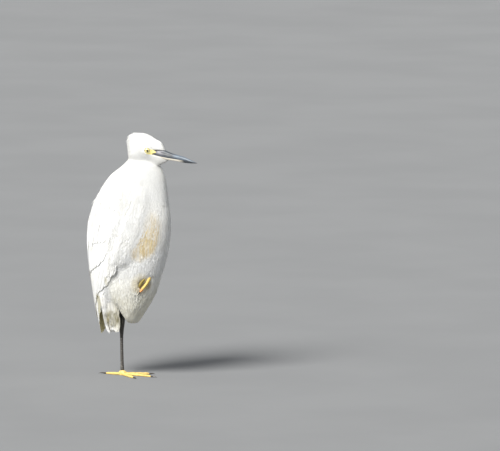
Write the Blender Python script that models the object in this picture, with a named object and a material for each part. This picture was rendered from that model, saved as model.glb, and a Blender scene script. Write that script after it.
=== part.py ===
"""Little egret, life size, standing on one leg with its neck drawn in and one foot tucked up.

Run with: blender --background --python part.py
Metres, +Z up. The bird faces +X and its left side is +Y. The origin is the middle of the standing
foot's sole, where the shank meets the toes.
"""

import math

import bmesh
import bpy
import numpy as np
from mathutils import Vector

GAP = 0.0003  # clearance between pieces that touch
SOLVER = "MANIFOLD"
FLAT = math.radians(1.2)  # faces closer in direction than this count as one flat face
VANE_EDGE = 0.0006  # thickness of a feather vane at its edge
VANE_SHAFT = 0.0010  # thickness of a feather vane along its shaft

# Trunk and drawn-in neck as level sections: height, back, front, half width, pinch of the front half.
TRUNK = [
    (0.095, 0.012, 0.030, 0.007, 0.00),
    (0.103, 0.003, 0.037, 0.016, 0.00),
    (0.118, -0.010, 0.048, 0.025, 0.00),
    (0.135, -0.026, 0.061, 0.033, 0.02),
    (0.155, -0.042, 0.072, 0.039, 0.04),
    (0.180, -0.052, 0.081, 0.0440, 0.06),
    (0.215, -0.060, 0.091, 0.0490, 0.09),
    (0.255, -0.0630, 0.096, 0.0515, 0.14),
    (0.290, -0.0590, 0.097, 0.0508, 0.20),
    (0.320, -0.048, 0.095, 0.0465, 0.25),
    (0.345, -0.034, 0.091, 0.0405, 0.24),
    (0.365, -0.018, 0.085, 0.034, 0.16),
    (0.380, 0.001, 0.078, 0.028, 0.06),
    (0.394, 0.016, 0.068, 0.019, 0.00),
]
TRUNK_RINGS = 24
TRUNK_SIDES = 26

# The cut between neck and trunk runs from the nape down to the breast.
NECK_CUT_BACK = Vector((0.004, 0.0, 0.388))
NECK_CUT_FRONT = Vector((0.100, 0.0, 0.262))

# Head as upright sections across the bill's direction: x, chin, crown, half width.
HEAD = [
    (0.0160, 0.3930, 0.4290, 0.0050),
    (0.0178, 0.3870, 0.4345, 0.0090),
    (0.0210, 0.3835, 0.4372, 0.0138),
    (0.0280, 0.3800, 0.4393, 0.0197),
    (0.0360, 0.3790, 0.4404, 0.0231),
    (0.0460, 0.3798, 0.4402, 0.0238),
    (0.0540, 0.3815, 0.4384, 0.0200),
    (0.0600, 0.3830, 0.4362, 0.0162),
    (0.0660, 0.3850, 0.4333, 0.0118),
    (0.0720, 0.3870, 0.4295, 0.0090),
    (0.0780, 0.3888, 0.4250, 0.0077),
    (0.0840, 0.3905, 0.4188, 0.0066),
    (0.0900, 0.3925, 0.4080, 0.0045),
    (0.0950, 0.3937, 0.3970, 0.0025),
]
HEAD_RINGS = 16
HEAD_SIDES = 20

# Bill: the side view's three lines as x, culmen, mouth line, keel, then the half width.
BILL = [
    (0.0700, 0.4150, 0.4040, 0.3975, 0.0084),
    (0.0800, 0.4140, 0.4018, 0.3962, 0.0071),
    (0.0900, 0.4118, 0.4002, 0.3953, 0.0060),
    (0.1000, 0.4085, 0.3990, 0.3947, 0.0051),
    (0.1150, 0.4045, 0.3975, 0.3940, 0.0041),
    (0.1295, 0.4012, 0.3961, 0.3931, 0.0032),
    (0.1390, 0.3984, 0.3947, 0.3922, 0.0025),
    (0.1490, 0.3952, 0.3934, 0.3918, 0.0014),
    (0.1563, 0.3930, 0.3925, 0.3920, 0.0004),
]
BILL_RINGS = 12
BILL_SIDES = 8
MOUTH_GAP = 0.0004
NOSTRIL_AT = Vector((0.0880, 0.0056, 0.4068))
NOSTRIL_SIZE = Vector((0.0050, 0.0020, 0.0008))
NOSTRIL_SLOPE = math.radians(15)
GAPE_AT = Vector((0.0672, 0.0120, 0.4046))
GAPE_SIZE = Vector((0.0045, 0.0030, 0.0006))

EYE_AT = Vector((0.0600, 0.0126, 0.4115))
EYE_RADIUS = 0.0056
LID_RING = 0.0049
LID_THICKNESS = 0.0011
EYE_FACING = Vector((0.42, 0.90, -0.06)).normalized()

# Shaggy locks at the back of the crown: how far round the nape each starts, and how far aside.
NAPE_LINE = [
    (0.000, 0.0380, 0.4406),
    (0.010, 0.0282, 0.4394),
    (0.018, 0.0208, 0.4372),
    (0.024, 0.0168, 0.4330),
    (0.032, 0.0150, 0.4255),
    (0.044, 0.0152, 0.4135),
    (0.058, 0.0165, 0.3995),
]
NAPE_LOCKS = [
    (0.0055, -0.0115),
    (0.0045, -0.0040),
    (0.0050, 0.0037),
    (0.0057, 0.0117),
    (0.0150, -0.0078),
    (0.0165, 0.0002),
    (0.0155, 0.0080),
]
NAPE_LOCK_LENGTH = 0.020
NAPE_ROUND = 0.020

# Folded wing's outer shape: height, back, front, half width, then the angles from the spine at
# which the wing starts and ends.
WING = [
    (0.352, -0.030, 0.086, 0.0430, 50, 104),
    (0.335, -0.039, 0.088, 0.0490, 36, 115),
    (0.316, -0.0485, 0.089, 0.0535, 28, 115),
    (0.276, -0.0625, 0.093, 0.0590, 18, 107),
    (0.235, -0.0655, 0.091, 0.0590, 10, 98),
    (0.200, -0.0650, 0.085, 0.0550, 5, 89),
    (0.175, -0.0630, 0.066, 0.0480, 4, 82),
    (0.154, -0.0605, 0.044, 0.0400, 3, 75),
    (0.132, -0.0575, 0.020, 0.0315, 3, 64),
    (0.114, -0.0545, 0.003, 0.0260, 3, 64),
    (0.098, -0.0510, -0.008, 0.0215, 4, 65),
    (0.078, -0.0465, -0.016, 0.0165, 8, 58),
]
WING_TOP = 0.352
WING_TIP = 0.078
WING_RINGS = 11
WING_SIDES = 6
WING_MIDLINE = 0.0006  # how close the wings' dorsal edges come to the middle of the back

# Wing feathers in tiers: how many, the height of the roots at the spine side and at the front side,
# the height of the tips at both, half width, and how deep the tier lies under the outer shape.
TIERS = [
    ("primaries", 5, (0.168, 0.176), (0.078, 0.116), 0.0076, -0.0040),
    ("secondaries", 5, (0.235, 0.240), (0.100, 0.166), 0.0130, -0.0027),
    ("greater coverts", 5, (0.292, 0.290), (0.178, 0.222), 0.0142, -0.0013),
    ("median coverts", 5, (0.332, 0.326), (0.246, 0.262), 0.0144, 0.0),
]
# Along a vane from root to tip: how far, its share of the full width, how deep its root is sunk.
VANE_ROWS = [
    (0.00, 0.60, 1.00),
    (0.30, 0.88, 0.25),
    (0.72, 1.00, 0.00),
    (0.93, 0.72, 0.00),
    (1.00, 0.26, 0.00),
]
VANE_SINK = 0.0034
SHINGLE = 0.0008  # how much higher a vane's front edge is than its middle

# Tail: a closed fan under the wing tips.
TAIL_ROOT = Vector((-0.0340, 0.0, 0.168))
TAIL_TIP = Vector((-0.0240, 0.0, 0.078))
TAIL_PAIRS = 5
TAIL_ROOT_SPREAD = 0.0080
TAIL_TIP_SPREAD = 0.0165
TAIL_VANE = 0.0072
TAIL_STEP = 0.0009  # how far each pair lies under the pair inside it

# Long plumes at the side of the breast, down in front of the folded wing: the angle from straight
# ahead and the height at the root, then at the tip.
PLUMES = [
    (67, 0.2975, 66, 0.2320),
    (62.5, 0.2950, 61, 0.2200),
    (58, 0.2975, 57, 0.2130),
    (53.5, 0.2940, 53, 0.2240),
    (49, 0.2920, 48, 0.2170),
    (44.5, 0.2890, 44, 0.2290),
]
PLUME_WIDTH = 0.0041
PLUME_LIFT = 0.0017

# Standing leg, from under the belly down to the sole.
THIGH_TOP = Vector((0.0005, 0.0115, 0.150))
ANKLE = Vector((-0.0062, 0.0078, 0.0985))
SHANK_FOOT = Vector((-0.0004, 0.0004, 0.0060))
THIGH_RADIUS = 0.0031
SHANK_RADIUS = 0.0026
ANKLE_SIZE = Vector((0.0054, 0.0044, 0.0072))
PALM_SIZE = Vector((0.0070, 0.0062, 0.0066))
PALM_HEIGHT = 0.0030

# Toes: name, heading in degrees from straight ahead towards the left, length, joints, claw length.
TOES = [
    ("hind", 184, 0.0340, 1, 0.0150),
    ("inner", -33, 0.0470, 2, 0.0105),
    ("middle", 2, 0.0600, 3, 0.0110),
    ("outer", 38, 0.0500, 4, 0.0100),
]
TOE_RADIUS = 0.0028
TOE_TIP_RADIUS = 0.0019
CLAW_RADIUS = 0.0015

# Tucked foot on the right of the belly, as places on the trunk: height and angle from straight ahead.
TUCKED_PALM = (0.1925, -27)
TUCKED_PALM_SIZE = Vector((0.0042, 0.0042, 0.0050))
TUCKED_TOES = [
    (
        "hind",
        [(0.1925, -27), (0.1930, -23), (0.1905, -20), (0.1870, -19)],
        [(0.1870, -19), (0.1830, -20), (0.1800, -22.5)],
    ),
    (
        "inner",
        [(0.1925, -27), (0.1850, -38), (0.1755, -47.5), (0.1640, -52)],
        [(0.1640, -52), (0.1600, -53), (0.1565, -52)],
    ),
    (
        "middle",
        [(0.1925, -27), (0.1825, -33.5), (0.1690, -40.5), (0.1560, -46.5)],
        [(0.1560, -46.5), (0.1525, -49), (0.1500, -52)],
    ),
    (
        "outer",
        [(0.1925, -27), (0.1800, -28), (0.1690, -32.5), (0.1590, -38)],
        [(0.1590, -38), (0.1550, -40.5), (0.1520, -44)],
    ),
]
TUCKED_TOE_RADIUS = 0.0028
TUCKED_LIFT = 0.0012
KNUCKLE_TOP = (0.2040, -20)

COLOURS = {
    "plumage": ((0.90, 0.90, 0.87), 0.75),
    "bill_dark": ((0.035, 0.040, 0.048), 0.35),
    "bill_pale": ((0.55, 0.48, 0.42), 0.40),
    "iris": ((0.75, 0.66, 0.28), 0.10),
    "shank": ((0.020, 0.020, 0.020), 0.40),
    "toe": ((0.62, 0.42, 0.06), 0.50),
    "claw": ((0.030, 0.026, 0.022), 0.35),
}


def clear_scene():
    for obj in list(bpy.data.objects):
        bpy.data.objects.remove(obj)


def collection(name):
    made = bpy.data.collections.new(name)
    bpy.context.scene.collection.children.link(made)
    return made


def material(name):
    made = bpy.data.materials.get(name)
    if made:
        return made
    colour, roughness = COLOURS[name]
    made = bpy.data.materials.new(name)
    made.use_nodes = True
    shader = made.node_tree.nodes["Principled BSDF"]
    shader.inputs["Base Color"].default_value = (*colour, 1)
    shader.inputs["Roughness"].default_value = roughness
    shader.inputs["Metallic"].default_value = 0
    return made


def along(stations, key):
    """The stations' columns at this key, on a smooth curve through them."""
    rows = np.array(stations, float)
    if rows[0, 0] > rows[-1, 0]:
        rows = rows[::-1]
    keys = rows[:, 0]
    key = min(max(key, keys[0]), keys[-1])
    i = min(int(np.searchsorted(keys, key, side="right")) - 1, len(keys) - 2)
    slopes = np.gradient(rows[:, 1:], keys, axis=0)
    step = keys[i + 1] - keys[i]
    t = (key - keys[i]) / step
    low, high = rows[i, 1:], rows[i + 1, 1:]
    return (
        low * (2 * t**3 - 3 * t**2 + 1)
        + slopes[i] * step * (t**3 - 2 * t**2 + t)
        + high * (3 * t**2 - 2 * t**3)
        + slopes[i + 1] * step * (t**3 - t**2)
    )


def eased(count):
    """Numbers from 0 to 1, closer together at both ends, so that round ends stay round."""
    return [(1 - math.cos(math.pi * i / (count - 1))) / 2 for i in range(count)]


def mirrored(point, side):
    return Vector((point.x, point.y * side, point.z))


def new_object(name, bm, where, finish):
    mesh = bpy.data.meshes.new(name)
    bmesh.ops.recalc_face_normals(bm, faces=bm.faces)
    bm.to_mesh(mesh)
    bm.free()
    mesh.materials.append(material(finish))
    obj = bpy.data.objects.new(name, mesh)
    where.objects.link(obj)
    return obj


def loft(name, rings, where, finish):
    """A closed solid through rings of points, with a flat cap at each end."""
    bm = bmesh.new()
    rows = [[bm.verts.new(p) for p in ring] for ring in rings]
    sides = len(rows[0])
    for low, high in zip(rows, rows[1:]):
        for k in range(sides):
            n = (k + 1) % sides
            bm.faces.new((low[k], low[n], high[n]))
            bm.faces.new((low[k], high[n], high[k]))
    bm.faces.new(rows[0])
    bm.faces.new(rows[-1])
    bmesh.ops.triangulate(bm, faces=[f for f in bm.faces if len(f.verts) > 4])
    return new_object(name, bm, where, finish)


def slab(name, top, bottom, where, finish):
    """A thin closed solid between two grids of points, both cut into triangles the same way."""
    bm = bmesh.new()
    upper = [[bm.verts.new(p) for p in row] for row in top]
    lower = [[bm.verts.new(p) for p in row] for row in bottom]
    last = len(top[0]) - 1
    for i in range(len(top) - 1):
        for j in range(last):
            for grid in (upper, lower):
                bm.faces.new((grid[i][j], grid[i][j + 1], grid[i + 1][j + 1]))
                bm.faces.new((grid[i][j], grid[i + 1][j + 1], grid[i + 1][j]))
        for j in (0, last):
            bm.faces.new((upper[i][j], upper[i + 1][j], lower[i + 1][j]))
            bm.faces.new((upper[i][j], lower[i + 1][j], lower[i][j]))
    for i in (0, len(top) - 1):
        for j in range(last):
            bm.faces.new((upper[i][j], upper[i][j + 1], lower[i][j + 1]))
            bm.faces.new((upper[i][j], lower[i][j + 1], lower[i][j]))
    return new_object(name, bm, where, finish)


def lock(name, centres, outward, half_width, where, grow=0.0):
    """A flat tapered tuft along its centre line, with its root at the first point."""
    shares = [i / (len(centres) - 1) for i in range(len(centres))]
    top, bottom = [], []
    for i, (centre, out, s) in enumerate(zip(centres, outward, shares)):
        ahead = centres[min(i + 1, len(centres) - 1)] - centres[max(i - 1, 0)]
        aside = ahead.cross(out).normalized()
        wide = half_width * (1 - 0.88 * s**1.6) * (0.75 + 0.9 * min(s, 0.3)) + grow
        row_top, row_bottom = [], []
        for j in (-1, 0, 1):
            thick = (VANE_SHAFT if j == 0 else VANE_EDGE) / 2 + grow
            at = centre + aside * (wide * j)
            row_top.append(at + out * thick)
            row_bottom.append(at - out * thick)
        top.append(row_top)
        bottom.append(row_bottom)
    return slab(name, top, bottom, where, "plumage")


def trunk_at(height, angle, lift):
    """A point on the trunk's surface: angle in degrees from straight ahead towards the left."""
    back, front, half_width, pinch = along(TRUNK, height)
    turn = math.radians(angle)
    middle, reach = (back + front) / 2, (front - back) / 2 + lift
    across = (half_width + lift) * math.sin(turn)
    across *= 1 - pinch * max(0.0, math.cos(turn)) ** 2
    return Vector((middle + reach * math.cos(turn), across, height))


def trunk_outward(height, angle):
    around = trunk_at(height, angle + 2, 0) - trunk_at(height, angle - 2, 0)
    up = trunk_at(height + 0.003, angle, 0) - trunk_at(height - 0.003, angle, 0)
    return around.cross(up).normalized()


def trunk_solid(name, where, grow=0.0):
    """Trunk and drawn-in neck in one closed shape, from the belly's underside to under the head."""
    bottom, top = TRUNK[0][0], TRUNK[-1][0]
    heights = [bottom + (top - bottom) * s for s in eased(TRUNK_RINGS)]
    rings = []
    for i, height in enumerate(heights):
        ring = []
        for k in range(TRUNK_SIDES):
            p = trunk_at(height, 360 * k / TRUNK_SIDES, grow)
            p.z += grow if i == len(heights) - 1 else 0
            p.z -= grow if i == 0 else 0
            ring.append(p)
        rings.append(ring)
    return loft(name, rings, where, "plumage")


def head_ring(x, grow):
    chin, crown, half_width = along(HEAD, x)
    middle, reach = (chin + crown) / 2, (crown - chin) / 2 + grow
    ring = []
    for k in range(HEAD_SIDES):
        angle = math.tau * k / HEAD_SIDES
        across = (half_width + grow) * math.cos(angle)
        ring.append(Vector((x, across, middle + reach * math.sin(angle))))
    return ring


def head_solid(name, where, grow=0.0):
    start, end = HEAD[0][0], HEAD[-1][0]
    rings = [head_ring(start + (end - start) * s, grow) for s in eased(HEAD_RINGS)]
    for p in rings[0]:
        p.x -= grow
    for p in rings[-1]:
        p.x += grow
    return loft(name, rings, where, "plumage")


def tube(name, centres, radii, where, finish, sides=10, floor=None):
    """A tapered round piece along its centre line. What would lie under the floor is flat on it."""
    rings = []
    for i, centre in enumerate(centres):
        ahead = centres[min(i + 1, len(centres) - 1)] - centres[max(i - 1, 0)]
        ahead.normalize()
        aside = ahead.cross(Vector((0, 0, 1)))
        if aside.length < 0.05:
            aside = Vector((0, 1, 0))
        aside.normalize()
        up = aside.cross(ahead)
        ring = []
        for k in range(sides):
            angle = math.tau * (k + 0.5) / sides
            p = centre + (aside * math.cos(angle) + up * math.sin(angle)) * radii[i]
            if floor is not None:
                p.z = max(p.z, floor)
            ring.append(p)
        rings.append(ring)
    return loft(name, rings, where, finish)


def ball(name, at, size, where, finish, sides=20, rings=12):
    bm = bmesh.new()
    bmesh.ops.create_uvsphere(bm, u_segments=sides, v_segments=rings, radius=1.0)
    for v in bm.verts:
        v.co = Vector((v.co.x * size.x, v.co.y * size.y, v.co.z * size.z)) + at
    bmesh.ops.triangulate(bm, faces=bm.faces)
    return new_object(name, bm, where, finish)


def round_ball(name, at, radius, where, finish, sides=20, rings=12):
    return ball(name, at, Vector((radius, radius, radius)), where, finish, sides, rings)


def apply_boolean(obj, operation, cutter=None, pieces=None, solver=SOLVER):
    modifier = obj.modifiers.new("boolean", "BOOLEAN")
    modifier.operation = operation
    modifier.solver = solver
    if pieces:
        modifier.operand_type = "COLLECTION"
        modifier.collection = pieces
    else:
        modifier.object = cutter
    graph = bpy.context.evaluated_depsgraph_get()
    mesh = bpy.data.meshes.new_from_object(obj.evaluated_get(graph))
    obj.modifiers.clear()
    obj.data = mesh


def remove_all(pieces):
    for obj in list(pieces.objects):
        bpy.data.objects.remove(obj)
    bpy.data.collections.remove(pieces)


def span(verts):
    low = [min(v.co[i] for v in verts) for i in range(3)]
    high = [max(v.co[i] for v in verts) for i in range(3)]
    return math.dist(low, high)


def merge_flat_faces(bm):
    """Takes out the splits that a Boolean leaves in faces that were flat."""
    bmesh.ops.dissolve_limit(
        bm, angle_limit=FLAT, verts=list(bm.verts), edges=list(bm.edges)
    )
    bmesh.ops.triangulate(bm, faces=bm.faces)


def keep_largest(obj):
    """Keeps the largest closed surface of the mesh."""
    bm = bmesh.new()
    bm.from_mesh(obj.data)
    bmesh.ops.remove_doubles(bm, verts=bm.verts, dist=1e-6)
    left, groups = set(bm.verts), []
    while left:
        stack, group = [left.pop()], set()
        while stack:
            v = stack.pop()
            group.add(v)
            near = {e.other_vert(v) for e in v.link_edges} & left
            left -= near
            stack.extend(near)
        groups.append(group)
    groups.sort(key=span, reverse=True)
    for group in groups[1:]:
        bmesh.ops.delete(bm, geom=list(group), context="VERTS")
    merge_flat_faces(bm)
    bm.to_mesh(obj.data)
    bm.free()


def cut(obj, cutters):
    """Takes the cutters away from the object and removes them."""
    for cutter in cutters:
        apply_boolean(obj, "DIFFERENCE", cutter)
        bpy.data.objects.remove(cutter)
    keep_largest(obj)


def join(obj, pieces, solver=SOLVER):
    """Fuses the object and the collection's pieces into one closed body."""
    apply_boolean(obj, "UNION", pieces=pieces, solver=solver)
    remove_all(pieces)
    keep_largest(obj)


def keep_behind(obj, point, normal):
    """Keeps what lies behind a plane, and closes the cut."""
    bm = bmesh.new()
    bm.from_mesh(obj.data)
    whole = list(bm.verts) + list(bm.edges) + list(bm.faces)
    found = bmesh.ops.bisect_plane(
        bm, geom=whole, plane_co=point, plane_no=normal, clear_outer=True
    )
    rim = [e for e in found["geom_cut"] if isinstance(e, bmesh.types.BMEdge)]
    bmesh.ops.contextual_create(bm, geom=rim)
    bmesh.ops.triangulate(bm, faces=bm.faces)
    bmesh.ops.recalc_face_normals(bm, faces=bm.faces)
    bm.to_mesh(obj.data)
    bm.free()


def bill_ring(x, upper):
    culmen, mouth, keel, half_width = along(BILL, x)
    edge = mouth + MOUTH_GAP / 2 if upper else mouth - MOUTH_GAP / 2
    height = culmen - edge if upper else keel - edge
    ring = []
    for k in range(BILL_SIDES + 1):
        angle = math.pi * k / BILL_SIDES
        rise = height * math.sin(angle) ** 0.85
        ring.append(Vector((x, half_width * math.cos(angle), edge + rise)))
    return ring


def bill_half(name, where, upper, finish):
    start, end = BILL[0][0] + GAP, BILL[-1][0]
    places = [start + (end - start) * i / (BILL_RINGS - 1) for i in range(BILL_RINGS)]
    return loft(name, [bill_ring(x, upper) for x in places], where, finish)


def bill_room(where):
    """What the head leaves free for the bill: the bill's side view, wider than the head."""
    wide = 0.03
    rings = []
    for x in (0.0700, 0.0750, 0.0800, 0.0860, 0.0920, 0.1000):
        culmen, _, keel, _ = along(BILL, x)
        low, top = keel - GAP, culmen + GAP
        ring = [Vector((x, y, z)) for y, z in ((-wide, low), (wide, low), (wide, top), (-wide, top))]
        rings.append(ring)
    return loft("bill_room", rings, where, "plumage")


def eyelids(where, side):
    """Both lids of one eye, a raised ring round the opening that narrows to its corners."""
    facing = mirrored(EYE_FACING, side).normalized()
    middle = mirrored(EYE_AT, side) + facing * (EYE_RADIUS * 0.50)
    aside = facing.cross(Vector((0, 0, 1))).normalized()
    up = aside.cross(facing)
    turns, sides = 14, 5
    bm = bmesh.new()
    rows = []
    for i in range(turns):
        turn = math.tau * i / turns
        out = aside * math.cos(turn) + up * (0.84 * math.sin(turn))
        row = []
        for k in range(sides):
            angle = math.tau * k / sides
            p = middle + out * (LID_RING + LID_THICKNESS * math.cos(angle))
            row.append(bm.verts.new(p + facing * (LID_THICKNESS * math.sin(angle))))
        rows.append(row)
    for i, row in enumerate(rows):
        after = rows[(i + 1) % turns]
        for k in range(sides):
            n = (k + 1) % sides
            bm.faces.new((row[k], row[n], after[n], after[k]))
    bmesh.ops.triangulate(bm, faces=bm.faces)
    return new_object("lids", bm, where, "plumage")


def sloping_slit(where, at, size, side, name):
    """A slit that slopes down towards the tip as the bill does."""
    slit = ball(name, Vector((0, 0, 0)), size, where, "bill_dark", sides=12, rings=8)
    for v in slit.data.vertices:
        v.co.z -= v.co.x * math.tan(NOSTRIL_SLOPE)
        v.co += mirrored(at, side)
    return slit


def nape_point(distance, aside, lift):
    """A point on the back of the head, and the direction away from it."""
    x, z = along(NAPE_LINE, distance)
    before, after = along(NAPE_LINE, distance - 0.002), along(NAPE_LINE, distance + 0.002)
    way = Vector((after[0] - before[0], 0, after[1] - before[1])).normalized()
    out = Vector((way.z, 0, -way.x))
    at = Vector((x, aside, z)) - out * (aside**2 / (2 * NAPE_ROUND))
    away = (out + Vector((0, aside / NAPE_ROUND, 0))).normalized()
    return at + away * lift, away


def nape_locks(where):
    for i, (start, aside) in enumerate(NAPE_LOCKS):
        centres, outward = [], []
        for s in (0, 0.33, 0.68, 1):
            lift = -0.0013 + 0.0044 * s**1.6
            narrowed = aside * (1 - 0.12 * s)
            at, away = nape_point(start + NAPE_LOCK_LENGTH * s, narrowed, lift)
            centres.append(at)
            outward.append(away)
        lock(f"nape_lock_{i}", centres, outward, 0.0038, where)


def build_head(parts, cutters):
    head = head_solid("head", parts)
    pieces = collection("head_pieces")
    for side in (1, -1):
        eyelids(pieces, side)
    nape_locks(pieces)
    join(head, pieces)
    rooms = [bill_room(cutters)]
    for side in (1, -1):
        rooms.append(
            round_ball("socket", mirrored(EYE_AT, side), EYE_RADIUS + GAP, cutters, "plumage", 16, 10)
        )
        rooms.append(sloping_slit(cutters, GAPE_AT, GAPE_SIZE, side, "gape"))
    cut(head, rooms)
    for side, name in ((1, "eye_left"), (-1, "eye_right")):
        round_ball(name, mirrored(EYE_AT, side), EYE_RADIUS, parts, "iris", 16, 10)


def build_bill(parts, cutters):
    upper = bill_half("bill_upper", parts, True, "bill_dark")
    slits = [sloping_slit(cutters, NOSTRIL_AT, NOSTRIL_SIZE, s, "nostril") for s in (1, -1)]
    cut(upper, slits)
    bill_half("bill_lower", parts, False, "bill_pale")


def plumes(where, side, grow=0.0):
    """The long plumes that hang at the side of the breast."""
    for i, (root_angle, root, tip_angle, tip) in enumerate(PLUMES):
        centres, outward = [], []
        for s in (0, 0.33, 0.68, 1):
            height = root + (tip - root) * s
            angle = side * (root_angle + (tip_angle - root_angle) * s + 1.2 * math.sin(3 * s + i))
            lift = -0.0010 + PLUME_LIFT * min(1.0, 2.5 * s) + 0.0006 * s * (1 + i % 2)
            centres.append(trunk_at(height, angle, lift))
            outward.append(trunk_outward(height, angle))
        lock(f"plume_{i}", centres, outward, PLUME_WIDTH, where, grow)


def tucked_line(places, lift=TUCKED_LIFT):
    return [trunk_at(height, angle, lift) for height, angle in places]


def smoothed(points, count):
    """A smooth curve of this many points through a few."""
    steps = np.cumsum([0.0] + [(b - a).length for a, b in zip(points, points[1:])])
    rows = [(d, *p) for d, p in zip(steps, points)]
    return [Vector(along(rows, steps[-1] * i / (count - 1))) for i in range(count)]


def toe_radii(count, joints, first, last):
    """Radii along a toe: it tapers, swells a little between its joints and closes at the end."""
    radii = []
    for i in range(count):
        s = i / (count - 1)
        swell = 1 + 0.09 * math.cos(math.tau * joints * s + math.pi)
        radii.append((first + (last - first) * s) * swell)
    radii[-1] *= 0.55
    return radii


def claw(name, centres, radius, where, floor=None):
    shares = [i / (len(centres) - 1) for i in range(len(centres))]
    radii = [max(0.0003, radius * (1 - s**1.25)) for s in shares]
    return tube(name, centres, radii, where, "claw", sides=6, floor=floor)


def tucked_toe(name, places, where, joints, grow=0.0):
    centres = smoothed(tucked_line(places), 9)
    radii = [r + grow for r in toe_radii(9, joints, TUCKED_TOE_RADIUS, 0.0020)]
    if grow:
        ahead = (centres[-1] - centres[-2]).normalized()
        centres[-1] = centres[-1] + ahead * grow
    return tube(name, centres, radii, where, "toe", sides=8)


def tucked_claw(name, places, where, grow=0.0):
    centres = smoothed(tucked_line(places, TUCKED_LIFT + 0.0002), 6)
    back = (centres[0] - centres[1]).normalized()
    centres = [centres[0] + back * 0.0012] + centres
    shares = [i / (len(centres) - 1) for i in range(len(centres))]
    radii = [max(0.0003, 0.0013 * (1 - s**1.25)) + grow for s in shares]
    return tube(name, centres, radii, where, "claw", sides=6)


def tucked_palm(name, where, grow=0.0):
    size = TUCKED_PALM_SIZE + Vector((grow, grow, grow))
    return ball(name, trunk_at(*TUCKED_PALM, TUCKED_LIFT), size, where, "toe", 12, 8)


def knuckle(name, where, grow=0.0):
    """The end of the tucked leg's shank, where it comes out of the belly feathers."""
    start = trunk_at(*TUCKED_PALM, TUCKED_LIFT)
    end = trunk_at(*KNUCKLE_TOP, -0.0030)
    centres = [start.lerp(end, s) for s in (-0.02, 0.3, 0.6, 1)]
    radii = [0.0026 + grow, 0.0028 + grow, 0.0030 + grow, 0.0030 + grow]
    if grow:
        centres[-1] = centres[-1] + (end - start).normalized() * grow
    return tube(name, centres, radii, where, "shank", sides=10)


def tucked_foot_room(where):
    """Slightly larger copies of the tucked foot, which press its bed into the belly."""
    made = [tucked_palm("room", where, GAP), knuckle("room", where, GAP)]
    for i, (_, places, claw_places) in enumerate(TUCKED_TOES):
        made.append(tucked_toe("room", places, where, 1, GAP))
        made.append(tucked_claw("room", claw_places, where, GAP))
    return made


def build_tucked_foot(parts, cutters):
    shank = knuckle("shank_right", parts)
    cut(shank, [tucked_palm("room", cutters, GAP)])
    palm = tucked_palm("foot_right", parts)
    done = []
    for name, places, claw_places in TUCKED_TOES:
        toe = tucked_toe(f"toe_right_{name}", places, parts, 2)
        rooms = [tucked_palm("room", cutters, GAP), knuckle("room", cutters, GAP)]
        for other in done:
            rooms.append(tucked_toe("room", other, cutters, 2, GAP))
        cut(toe, rooms)
        done.append(places)
    for name, places, claw_places in TUCKED_TOES:
        nail = tucked_claw(f"claw_right_{name}", claw_places, parts)
        cut(nail, [tucked_toe("room", places, cutters, 2, GAP)])
    return palm


def build_trunk(parts, cutters):
    """Trunk and neck are the same shape on either side of one sloping cut."""
    slope = NECK_CUT_FRONT - NECK_CUT_BACK
    up = Vector((-slope.z, 0, slope.x)).normalized()
    trunk = trunk_solid("trunk", parts)
    keep_behind(trunk, NECK_CUT_BACK - up * GAP / 2, up)
    pieces = collection("trunk_pieces")
    for side in (1, -1):
        plumes(pieces, side)
    join(trunk, pieces)
    cut(trunk, tucked_foot_room(cutters))
    neck = trunk_solid("neck", parts)
    keep_behind(neck, NECK_CUT_BACK + up * GAP / 2, -up)
    cut(neck, [head_solid("head_room", cutters, GAP)])


def wing_point(height, share, side, lift):
    """A point of the folded wing: share runs from the spine edge to the front edge."""
    back, front, half_width, first, last = along(WING, height)
    least = math.asin(WING_MIDLINE / half_width)
    angle = max(math.radians(first + (last - first) * share), least)
    middle, reach = (back + front) / 2, (front - back) / 2 + lift
    across = max((half_width + lift) * math.sin(angle), WING_MIDLINE)
    return Vector((middle - reach * math.cos(angle), side * across, height))


def wing_breadth(height):
    """The length of the folded wing's outline at this height, from spine edge to front edge."""
    line = [wing_point(height, i / 12, 1, 0) for i in range(13)]
    return sum((b - a).length for a, b in zip(line, line[1:]))


def wing_core(name, where, side):
    """The folded wing under its feathers."""
    rings = []
    for s in eased(WING_RINGS):
        height = WING_TOP + (0.122 - WING_TOP) * s
        outer = -0.0023 - 0.0026 * s
        inner = outer - 0.0012 - 0.0080 * (1 - s)
        shares = [k / (WING_SIDES - 1) for k in range(WING_SIDES)]
        if s < 0.03 or s > 0.97:
            outer -= 0.0008
        face = []
        for t in shares:
            edge = 1 - math.sin(math.pi * t) ** 0.5
            face.append(wing_point(height, 0.03 + 0.94 * t, side, outer - 0.0012 * edge))
        back = [wing_point(height, 0.03 + 0.94 * t, side, inner) for t in reversed(shares)]
        rings.append(face + back)
    return loft(name, rings, where, "plumage")


def wing_vane(name, where, side, share, root, tip, half_width, lift):
    """One flat feather on the wing's outer shape. Its front edge lies over the next feather."""
    top, bottom = [], []
    for s, wide, sunk in VANE_ROWS:
        height = root + (tip - root) * s
        reach = half_width * wide / wing_breadth(height)
        row_top, row_bottom = [], []
        for j in (-1, 0, 1):
            thick = VANE_SHAFT if j == 0 else VANE_EDGE
            high = lift + SHINGLE * j - VANE_SINK * sunk
            row_top.append(wing_point(height, share + reach * j, side, high))
            row_bottom.append(wing_point(height, share + reach * j, side, high - thick))
        top.append(row_top)
        bottom.append(row_bottom)
    return slab(name, top, bottom, where, "plumage")


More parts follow.
